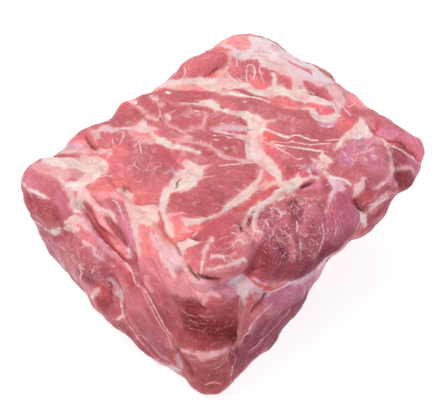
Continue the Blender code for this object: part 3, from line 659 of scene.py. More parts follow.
# %% Sinews: name, tone, places in the picture as (x, y, half width)
SINEWS = (
    ("upright at left", "rosy fat", (157, 95, 0.9), (160.5, 117, 1.5)),
    ("on left lobes", "salmon fat", (96, 139, 0.8), (95.3, 142, 1.2), (97, 146, 0.8)),
    ("between left lobes", "pink fat", (112.5, 139, 0.7), (113, 143, 0.9), (115.3, 147, 0.9)),
    ("curl at lobes", "pink fat", (119.5, 131, 0.9), (123, 132, 1.2), (123.6, 136, 1.2), (120, 143.5, 0.6)),
    ("down round muscle", "cream fat", (139, 141, 1.2), (141.5, 154, 0.7)),
    ("beside oval", "pink fat", (171, 113, 0.8), (176, 109, 0.5)),
    ("under film", "ridge fat", (215, 130, 0.7), (232, 134.5, 1.2), (250, 137, 1.2)),
    ("second under film", "pale fat", (215, 135.5, 0.7), (222, 136, 0.9), (230, 138, 1), (238, 138, 1.2),
     (246, 140, 1)),
    ("under far band", "pale fat", (230, 93, 1), (238, 95.5, 1.1), (254, 97, 1.2), (262, 99, 1),
     (269, 103, 0.7)),
    ("fan, first", "pale fat", (264, 129.5, 1.7), (270, 131, 1.6), (282, 136, 1.6), (289, 136.5, 1.5),
     (296, 135.3, 1.2), (310, 139.5, 1), (317, 140.5, 0.8)),
    ("fan, outer end", "pink fat", (326, 140.5, 0.7), (335, 140, 0.9), (342, 138, 0.8)),
    ("fan, second", "pink fat", (270, 141, 0.7), (287, 142.5, 0.8), (293, 141.5, 0.8), (308, 144.5, 0.9),
     (316, 144.5, 0.9), (322, 143.5, 0.8), (331, 144, 0.7)),
    ("fan, third", "pale fat", (272, 143, 0.8), (280, 146, 1), (320, 150.8, 1.3), (322, 153.5, 1.2)),
    ("fan, fourth", "pink fat", (281, 151, 0.7), (296, 158.5, 0.9), (302, 158, 0.8)),
    ("at band's end", "cream fat", (320, 125.5, 0.7), (326, 127, 0.9), (333, 126, 0.8)),
    ("stripe 1", "pink fat", (247.5, 65.5, 0.8), (246.5, 72, 0.9), (247.3, 83, 0.9)),
    ("stripe 2", "pale fat", (248, 66, 0.7), (252, 65, 0.8), (255, 70, 0.9), (254, 77, 0.8)),
    ("stripe 3", "pink fat", (266, 65, 0.6), (260, 66.5, 0.9), (260, 72, 1), (264, 83, 0.6)),
    ("stripe 4", "pink fat", (236.5, 60.5, 0.9), (237, 63, 0.9), (236, 67, 0.6)),
    ("stripe 5", "pink fat", (226.5, 70, 0.9), (229, 75, 1), (238, 84.5, 1)),
    ("stripe 6", "rosy fat", (291, 76, 0.8), (291.5, 84, 0.8), (293.5, 92, 0.7)),
    ("between back lobes", "pale fat", (184, 68, 1), (186, 72, 1), (182, 79, 1)),
    ("right far edge", "pink fat", (346, 104, 0.7), (349, 107, 0.8), (354, 104, 0.7)),
    ("right far edge, second", "pink fat", (342, 106, 0.7), (350, 115, 0.8)),
    ("above short muscle", "pink fat", (220, 166, 0.8), (257, 163, 0.8)),
    ("left of short muscle", "rosy fat", (198, 177.5, 1), (205, 177.5, 0.9), (213, 176, 0.6)),
    ("along right lobe", "pink fat", (381, 139, 1), (390, 145, 1.2), (396, 147.5, 1.2), (408, 154.5, 1.2),
     (417, 163.5, 0.9)),
    ("curve on front muscle", "rosy fat", (174, 215.5, 0.9), (182, 213, 1), (186, 214, 0.7)),
    ("near side", "rosy fat", (272, 303, 0.8), (254, 322, 1), (248, 331, 1.1), (239, 348, 0.8)),
    ("near side, second", "pink", (290, 310, 0.7), (262, 340, 0.7), (250, 350, 0.6)),
    ("long sinew on left side", "pink fat", (97, 226, 1), (103, 238, 1.1), (110, 247, 1.2), (131, 270, 1.5),
     (136, 284, 1.4), (146, 292, 1.3), (165, 327, 1.1), (171, 335, 0.8)),
    ("above knob", "rosy fat", (81, 266, 1.2), (82, 272, 1.2), (80, 278, 1)),
    ("upright by knob", "pale fat", (122, 297, 1.7), (121.3, 305, 1.7), (124, 318, 1.1)),
    ("long and low", "pink fat", (124, 318, 0.8), (143, 344, 0.8), (158, 360, 0.5)),
    ("low strand", "rose spot", (139, 284, 1.1), (151, 308, 1.4), (175, 350, 0.9)),
    ("low strand, third", "light lean", (157, 290, 0.6), (161, 300, 0.8), (163, 308, 0.5)),
    ("on foot", "pale fat", (215, 369, 0.8), (222, 366, 0.8)),
    ("on foot, second", "rosy fat", (232, 367, 0.8), (231, 375, 0.7)),
    ("grey on pad", "grey fat", (75, 160, 0.8), (90, 165, 0.8)),
    ("grey on pad, second", "grey fat", (80, 167, 0.8), (90, 170, 0.7)),
    ("rough 8", "pale fat", (288, 190.5, 0.5), (291, 189, 0.6), (294, 191.5, 0.7), (295.5, 195, 0.5)),
    ("rough 11", "pale fat", (296, 221, 0.6), (297.5, 226, 0.9), (297, 231, 0.7)),
    ("rough 17", "rosy fat", (281, 237, 0.7), (284, 238.5, 0.9), (288, 236.5, 0.8), (291, 233, 0.5)),
    ("rough 24", "grey fat", (300, 239, 0.7), (301, 245, 1.2), (300, 259, 0.6)),
    # Painted highlight: the pale top of the lit ridge in the rough muscle
    ("rough 25", "pink fat", (290.5, 236, 0.8), (289.5, 240, 1.1), (288, 243, 0.6)),
    ("rough 26", "pink fat", (323, 225, 0.9), (324, 235, 1.1), (320, 250, 0.6)),
    ("rough 28", "pink fat", (334, 218, 0.7), (336, 228, 0.8), (335, 235, 0.6)),
    ("flap 6", "rosy fat", (246, 229, 0.5), (249, 233, 0.7), (254, 236, 0.7), (257, 241, 0.5)),
    ("short muscle's edge", "ridge fat", (243, 183, 0.5), (248, 189, 0.6)),
    ("short muscle's edge 2", "pale fat", (236, 189, 0.5), (243, 193, 0.6)),
    ("knot 1", "pale fat", (309, 170, 1.2), (310.5, 174, 1.6), (312, 177, 1)),
    ("knot 4", "cream fat", (295, 181, 0.8), (299.5, 172, 0.7)),
    ("beyond round muscle's seam", "rosy fat", (158, 137, 0.6), (177, 139.5, 0.8)),
    ("fan, root", "pink fat", (262, 141, 0.8), (266, 142.5, 1.2), (282, 150.5, 0.8)),
    ("over band's end", "pink fat", (286, 107.5, 0.6), (292, 108.5, 0.7), (306, 108.5, 0.9)),
    ("fleck 3", "rose spot", (216.5, 140, 0.9), (217.7, 140, 0.9)),
    ("fleck 4", "pink fat", (226, 148.5, 1), (228, 147.5, 1)),
    ("fleck 5", "rosy fat", (232, 146.7, 0.7), (233.5, 146.3, 0.7)),
    ("fleck 6", "rosy fat", (244, 102, 1), (246, 102.5, 1)),
    ("spots over film", "rosy fat", (231, 124, 0.6), (234, 122.5, 0.9), (238, 122, 0.6)),
    ("at far right lean", "warm fat", (296, 90, 0.7), (305, 91, 1), (314, 94, 0.6)),
    ("round muscle's seam, root", "pale fat", (134, 146, 0.6), (139, 142, 0.8)),
    ("at nub", "rosy fat", (390, 186, 0.5), (394, 187, 0.7), (397, 185, 0.6)),
    ("on foot, third", "rosy fat", (205, 384, 0.6), (213, 382, 0.9), (221, 384, 0.6)),
    ("on foot, fourth", "pink fat", (231, 352, 0.4), (236, 357, 0.6), (234, 366, 0.4)),
    ("scratch in hollow", "light lean", (214, 332, 0.4), (230, 325, 0.5), (234, 320, 0.4)),
    ("low on left side", "light lean", (158, 340, 0.4), (165, 345, 0.6), (171, 348, 0.4)),
    ("over low muscle", "pink", (134, 330, 0.5), (147, 340, 0.4)),
    ("down flap, foot", "cream fat", (202.3, 262, 1.2), (202, 267, 1.6), (201.5, 271.5, 1.1)),
    ("third mark", "salmon fat", (219, 240, 0.7), (227, 237, 0.6)),
    ("strip, its thin threads", "pink fat", (213, 212, 0.5), (221, 206, 0.4)),
    ("on second lobe", "salmon fat", (117.3, 138.5, 0.9), (118.2, 140, 0.9)),
    ("thread on upper left", "pink", (122.5, 127, 0.6), (127, 119, 0.4)),
    ("second thread on upper left", "rose spot", (131, 126, 0.5), (134, 123, 0.6), (137, 122, 0.4)),
    ("top edge of peach lobe", "cream fat", (96, 177.5, 1), (111, 176, 0.6)),
    ("wrinkle in hollow 1", "salmon fat", (181, 309, 0.4), (187, 313.5, 0.7), (197, 317, 0.4)),
    ("wrinkle in hollow 2", "salmon", (199, 315.5, 0.4), (206, 316.3, 0.8), (213, 315.8, 0.4)),
    ("wrinkle in hollow 3", "peach light", (190, 320, 0.4), (197, 322.5, 0.6), (206, 324, 0.4)),
    ("wrinkle in hollow 4", "pink fat", (190, 328, 0.4), (196, 329.5, 0.7), (202, 331.3, 0.4)),
    ("wrinkle in hollow 5", "lean", (183, 337, 0.4), (194, 340, 0.6), (205, 341, 0.4)),
    ("wrinkle in hollow 6", "lean", (176, 322, 0.4), (182, 325, 0.6), (189, 326, 0.4)),
    ("wrinkle in hollow 7", "rose spot", (206, 330, 0.4), (211, 332, 0.5)),
    ("on ridge beside slot", "lilac fat", (113, 201, 0.6), (118, 204, 0.9), (124, 220, 0.6)),
    ("drip of mark", "pale fat", (221, 256, 1), (223, 258, 1.2), (224.5, 261, 0.7)),
    ("curl at seam", "pink fat", (233, 226, 0.4), (236.5, 224.9, 0.8), (239.6, 227.2, 0.8),
     (240.3, 230.5, 0.4)),
    ("curl below it", "pink fat", (232, 232.5, 0.6), (236, 234, 0.9), (240, 232.5, 0.6)),
    ("rim of orange blob", "salmon fat", (174, 222, 0.6), (173, 228, 0.9), (176, 234.5, 0.9),
     (183, 237.3, 0.6)),
    ("rim of its second lobe", "salmon fat", (196, 222, 0.6), (200, 226, 0.9), (198, 232, 0.9),
     (193, 236, 0.7)),
    ("web on flap", "pink fat", (236, 237.5, 0.4), (241, 236, 0.8), (247, 238, 0.8), (252, 236, 0.4)),
    ("second web on flap", "lilac fat", (240, 245, 0.4), (246, 243.5, 0.8), (251, 240, 0.4)),
)
WHITE_FLECKS = (
    (133, 102, 1.8), (155, 99, 1.7), (168, 93, 1.2), (197, 111, 1), (245, 102, 1), (222, 123, 1),
    (226, 148, 1.5), (216, 140, 1), (77, 211, 1.5),
)
for number, (x, y, half) in enumerate(WHITE_FLECKS):
    SINEWS += ((f"white fleck {number}", "pale fat", (x - 1, y, half), (x + 1, y + 0.5, half)),)
print("drawn sinews and flecks:", len(SINEWS))

# %% [markdown]
# Where a knife went through loose tissue, the cut is full of short pale curls. They are too many to
# draw one by one, so each of these places gets a number of them, seeded: a start somewhere inside,
# a heading, and the same turn at each of three steps.

# %% Curls: where, how many, middle, reach, steps in pixels, tones
CURLS = (
    ("rough muscle", 44, (269, 221), (17, 14), 2.7, ("lilac fat", "orchid", "pale fat", "violet")),
    ("rough muscle, upper right", 20, (303, 204), (13, 14), 2.5, ("lilac fat", "orchid", "rosy fat")),
    ("rough muscle, low", 10, (285, 247), (16, 12), 2.6, ("dusty pink", "rosy fat")),
    ("eye", 26, (359, 152), (17, 11), 2.7, ("lilac fat", "rosy fat", "orchid")),
    ("knot", 18, (312, 167), (11, 9), 2.3, ("lilac fat", "pale fat", "orchid")),
    ("round muscle", 14, (145, 166), (20, 18), 3.2, ("pink", "rosy fat")),
    ("flap", 12, (242, 240), (12, 7), 2.2, ("rosy fat", "pink fat")),
    ("left side", 18, (92, 258), (18, 18), 2.7, ("rosy fat", "orchid")),
)
CURL_SEED = 12
CURL_HALF_WIDTHS, CURL_TURN = (0.5, 1.0), 0.6
CURL_TAPER = (0.5, 1.0, 0.9, 0.4)


def curls():
    """Short bent threads: a random start inside an ellipse, then steps that all turn by the same angle."""
    draw = np.random.default_rng(CURL_SEED)
    found = []
    for name, count, middle, reach, step, tones in CURLS:
        for number in range(count):
            round_it, out = draw.uniform(0, 2 * np.pi), np.sqrt(draw.uniform())
            spot = np.array(middle) + out * np.array(reach) * (np.cos(round_it), np.sin(round_it))
            heading, turn = draw.uniform(0, 2 * np.pi), draw.normal(0, CURL_TURN)
            half = draw.uniform(*CURL_HALF_WIDTHS)
            places = []
            for share in CURL_TAPER:
                places.append((*spot, half * share))
                spot = spot + step * draw.uniform(0.7, 1.3) * np.array([np.cos(heading), np.sin(heading)])
                heading += turn
            found.append((f"curl {number} in the {name}", tones[number % len(tones)], *places))
    return tuple(found)


SINEWS += curls()
print("drawn and seeded sinews:", len(SINEWS))

# %% [markdown]
# A film is the thin bluish skin that wraps a muscle, and lean shows through it. A crease is where two
# muscles part. It sinks in, and its dark colour is painted shade; a few are real red and orange streaks.

# %% Films: name, tone, places in the picture as (x, y, half width)
FILMS = (
    ("over middle", "film white", (213, 128, 0.8), (220, 127.7, 2.4), (230, 127.7, 3), (240, 128.2, 3.2),
     (249, 129.8, 2)),
    ("at left edge", "lilac", (67, 147, 2), (75, 146, 3), (83, 146, 2.2)),
    ("by seam", "violet", (200, 102, 1.5), (214, 102, 1.5)),
    ("below round muscle", "lavender", (166, 173, 1.5), (172, 170, 1.5), (178, 174, 1.5)),
    ("at band's end", "lilac", (319, 123, 1), (324, 123.5, 2.2), (330, 124, 2), (334, 122, 1.2)),
    ("left of eye", "orchid", (308, 167, 2.5), (313, 167, 3), (318, 170, 2.5)),
    ("below eye", "lilac", (338, 184, 2.5), (343, 183, 2)),
    ("on right lobe", "pink fat", (396, 170, 1.2), (404, 168, 2), (411, 168.5, 2), (413.5, 172, 1.2)),
    ("in seam behind strip", "lavender", (227, 204, 2), (229, 209, 2.5)),
    ("under flap, left", "lavender", (193, 279, 2), (212, 292, 2)),
    ("under flap, middle", "orchid", (206, 286, 3), (216, 289, 4.5), (228, 291, 4.5), (236, 293, 3)),
    ("under flap, right", "film white", (231, 284, 4), (238, 287, 6), (245, 293, 4)),
    ("under flap, blue", "lilac", (244, 281, 4), (249, 283, 4.5), (256, 288, 3)),
    ("left side, spot", "film white", (128, 250, 2), (131, 254, 2)),
    ("spot on pad", "violet", (74, 174, 3), (80, 176, 3)),
    ("under rough muscle", "film white", (265, 292, 1.5), (278, 289, 2), (304, 277, 2), (313, 272, 1.4),
     (322, 264.5, 0.8)),
    ("ridge beside slot", "orchid", (118, 206, 1.5), (123, 215, 2), (131, 240, 2.5), (132, 250, 2.2)),
    ("white end of ridge", "white fat", (129, 246, 1.3), (129.5, 257, 1.2)),
    ("strip on left side", "mauve", (131, 260, 1.5), (139, 277, 2)),
    ("in corner of seam", "mauve", (278, 202, 1.8), (282, 204, 1.8)),
    ("over corner's band", "film white", (160, 240, 3), (167, 251, 5), (176, 264, 5.5)),
)

print("films:", len(FILMS))

# %% Creases: name, depth in mm, tone (mostly painted shade), places in the picture as (x, y, half width)
CREASES = (
    ("fold at back lobe", 1.8, "slit", (204, 77, 0.8), (211, 72.5, 1), (226, 65, 1.1), (228, 61, 0.8)),
    ("under far band", 1.2, "slit", (181, 100.5, 0.8), (198, 101.2, 0.8)),
    ("on left lobes", 1.8, "slit", (83.5, 134.5, 0.8), (90, 144.5, 1.2), (94, 149, 1), (98, 150.5, 0.7)),
    ("crack in patch", 0.8, "brown gap", (182.5, 178, 0.5), (178.5, 181.5, 0.7), (176.3, 188, 0.6)),
    ("right far edge", 1.6, "red groove", (373, 123, 0.8), (376, 128, 1), (374, 131.5, 1), (377, 135, 0.8)),
    ("along right lobe", 1.2, "slit", (388, 140.5, 0.7), (396, 142.5, 1.1), (403, 145.5, 1), (410, 151, 1.1),
     (416, 157, 0.8)),
    ("slit at middle right", 2.4, "blood", (301.5, 187.5, 0.8), (306, 185.5, 1.3), (315, 181.8, 0.5)),
    ("slit under knuckle", 2.4, "blood", (355, 200.5, 0.8), (356, 204, 1), (359.5, 207.5, 1),
     (366.5, 212, 0.9)),
    ("hole in seam", 1.6, "slit", (250, 218.6, 1.4), (251, 221.6, 1.2)),
    ("second hole", 1.2, "brown gap", (252.5, 212.4, 0.6), (256, 211.2, 0.6)),
    ("third hole", 1, "brown gap", (248.5, 223.3, 0.7), (249, 225, 0.6)),
    ("fourth hole", 1.6, "blood", (242, 227.5, 1.1), (242.4, 230.5, 0.9)),
    ("gap right of flap", 2, "wine", (263, 243, 0.9), (260, 248, 2.2), (257, 255, 2.6), (254, 262, 2.4),
     (252, 268.5, 1.2)),
    ("gap under flap", 3, "brown gap", (186, 267, 1), (189, 271, 1.8), (199, 278.5, 1.2)),
    ("gap under flap, right", 3, "gap", (199, 274, 0.9), (206, 277, 1.5), (221, 280.3, 0.8)),
    ("slot", 2.4, "slot red", (95, 223, 1.2), (98.5, 228, 2), (105, 236.5, 2.2), (126, 258.5, 1.3)),
    ("fold edge", 1.6, "shade", (199, 303, 0.7), (201, 307, 0.9), (205, 310, 0.6)),
    ("line on foot", 1.6, "slit", (178, 350, 0.8), (188, 366, 1.2), (193, 376, 0.9)),
    ("near side", 2, "slit", (266, 293, 1.3), (262, 300, 1.3), (256, 306, 1.2), (252, 312, 1)),
    ("red streak in back cover", 0.7, "pink streak", (289, 61, 0.7), (304, 69, 1.5), (309, 70.5, 2),
     (312, 74, 1.2)),
    ("channel beside slot", 1.8, "plum", (108, 218, 0.8), (119, 234, 2.2), (124, 242, 1.8), (127, 247, 0.8)),
    ("red groove", 1.4, "red groove", (158, 210, 1), (164, 232, 1.3), (176, 246, 1.2), (180, 255, 0.8)),
    ("pit by round muscle", 1.6, "slit", (124, 187, 0.8), (128, 189.5, 1), (131, 192.5, 0.8)),
    ("second stroke of pit", 1.2, "gap", (123, 190, 0.6), (127, 192.5, 0.7)),
    ("dark line at orange blob", 1.2, "slit", (191, 237.8, 0.6), (196, 237.8, 1), (201, 238.5, 0.7)),
    ("slit in front", 1.2, "slit", (177, 248, 0.7), (180, 254, 0.8)),
    ("fold beside slot", 1.2, "red groove", (93, 196, 0.8), (99, 203, 0.8), (106, 209, 0.8)),
    ("orange rim", 0.8, "rim orange", (246.5, 272, 1), (250, 278, 1.2), (255, 282.5, 1.4), (261, 286.5, 1.5),
     (267, 289, 1.5), (274, 289.5, 1.3), (285, 284, 0.7)),
    ("edge of dark part", 1, "shade", (252, 269, 0.6), (258, 267.5, 0.8), (267, 267, 0.6)),
    ("edge of main seam", 0.8, "slit", (241, 117, 0.6), (242, 121, 0.8), (246.5, 125, 0.6)),
    ("fold at film's end", 0.8, "shadow plum", (247, 130, 0.5), (252.5, 130.5, 0.6)),
    ("dot at seam", 0.9, "slit", (220.5, 105.5, 0.5), (223, 108, 0.7)),
    ("by upright", 0.9, "slit", (160.5, 118, 0.8), (161, 120.5, 0.8)),
    ("under knuckle", 1.2, "slit", (364, 206.3, 0.8), (368, 207, 0.9), (373, 206.3, 0.7)),
    ("left of eye's foot", 1, "slit", (365.5, 181, 0.6), (367.5, 190, 0.7)),
    ("edge of knob", 1.4, "slit", (110, 283, 0.6), (111, 302, 0.8)),
    ("edge by ridge", 1.4, "slit", (236, 350, 0.6), (242, 344, 0.9), (247, 336, 0.8)),
    ("streaks on foot", 0.9, "wine", (213, 371, 0.6), (231, 362, 0.6)),
    ("second streak on foot", 0.8, "wine", (216, 376, 0.6), (224, 372, 0.7)),
    ("under first lobe", 0.9, "red groove", (102, 146.5, 0.6), (107, 147.5, 0.8), (112, 146.5, 0.6)),
    ("line on left side", 0.8, "red groove", (152, 262, 0.6), (162, 284, 0.8), (171, 308, 0.5)),
    ("specks in slot", 0.8, "gap", (105.5, 240.5, 0.7), (108, 242, 1), (112, 244, 0.6)),
    ("slot, top", 1.2, "rose", (83.5, 205, 0.5), (95, 223, 1.6)),
)

print("creases:", len(CREASES))
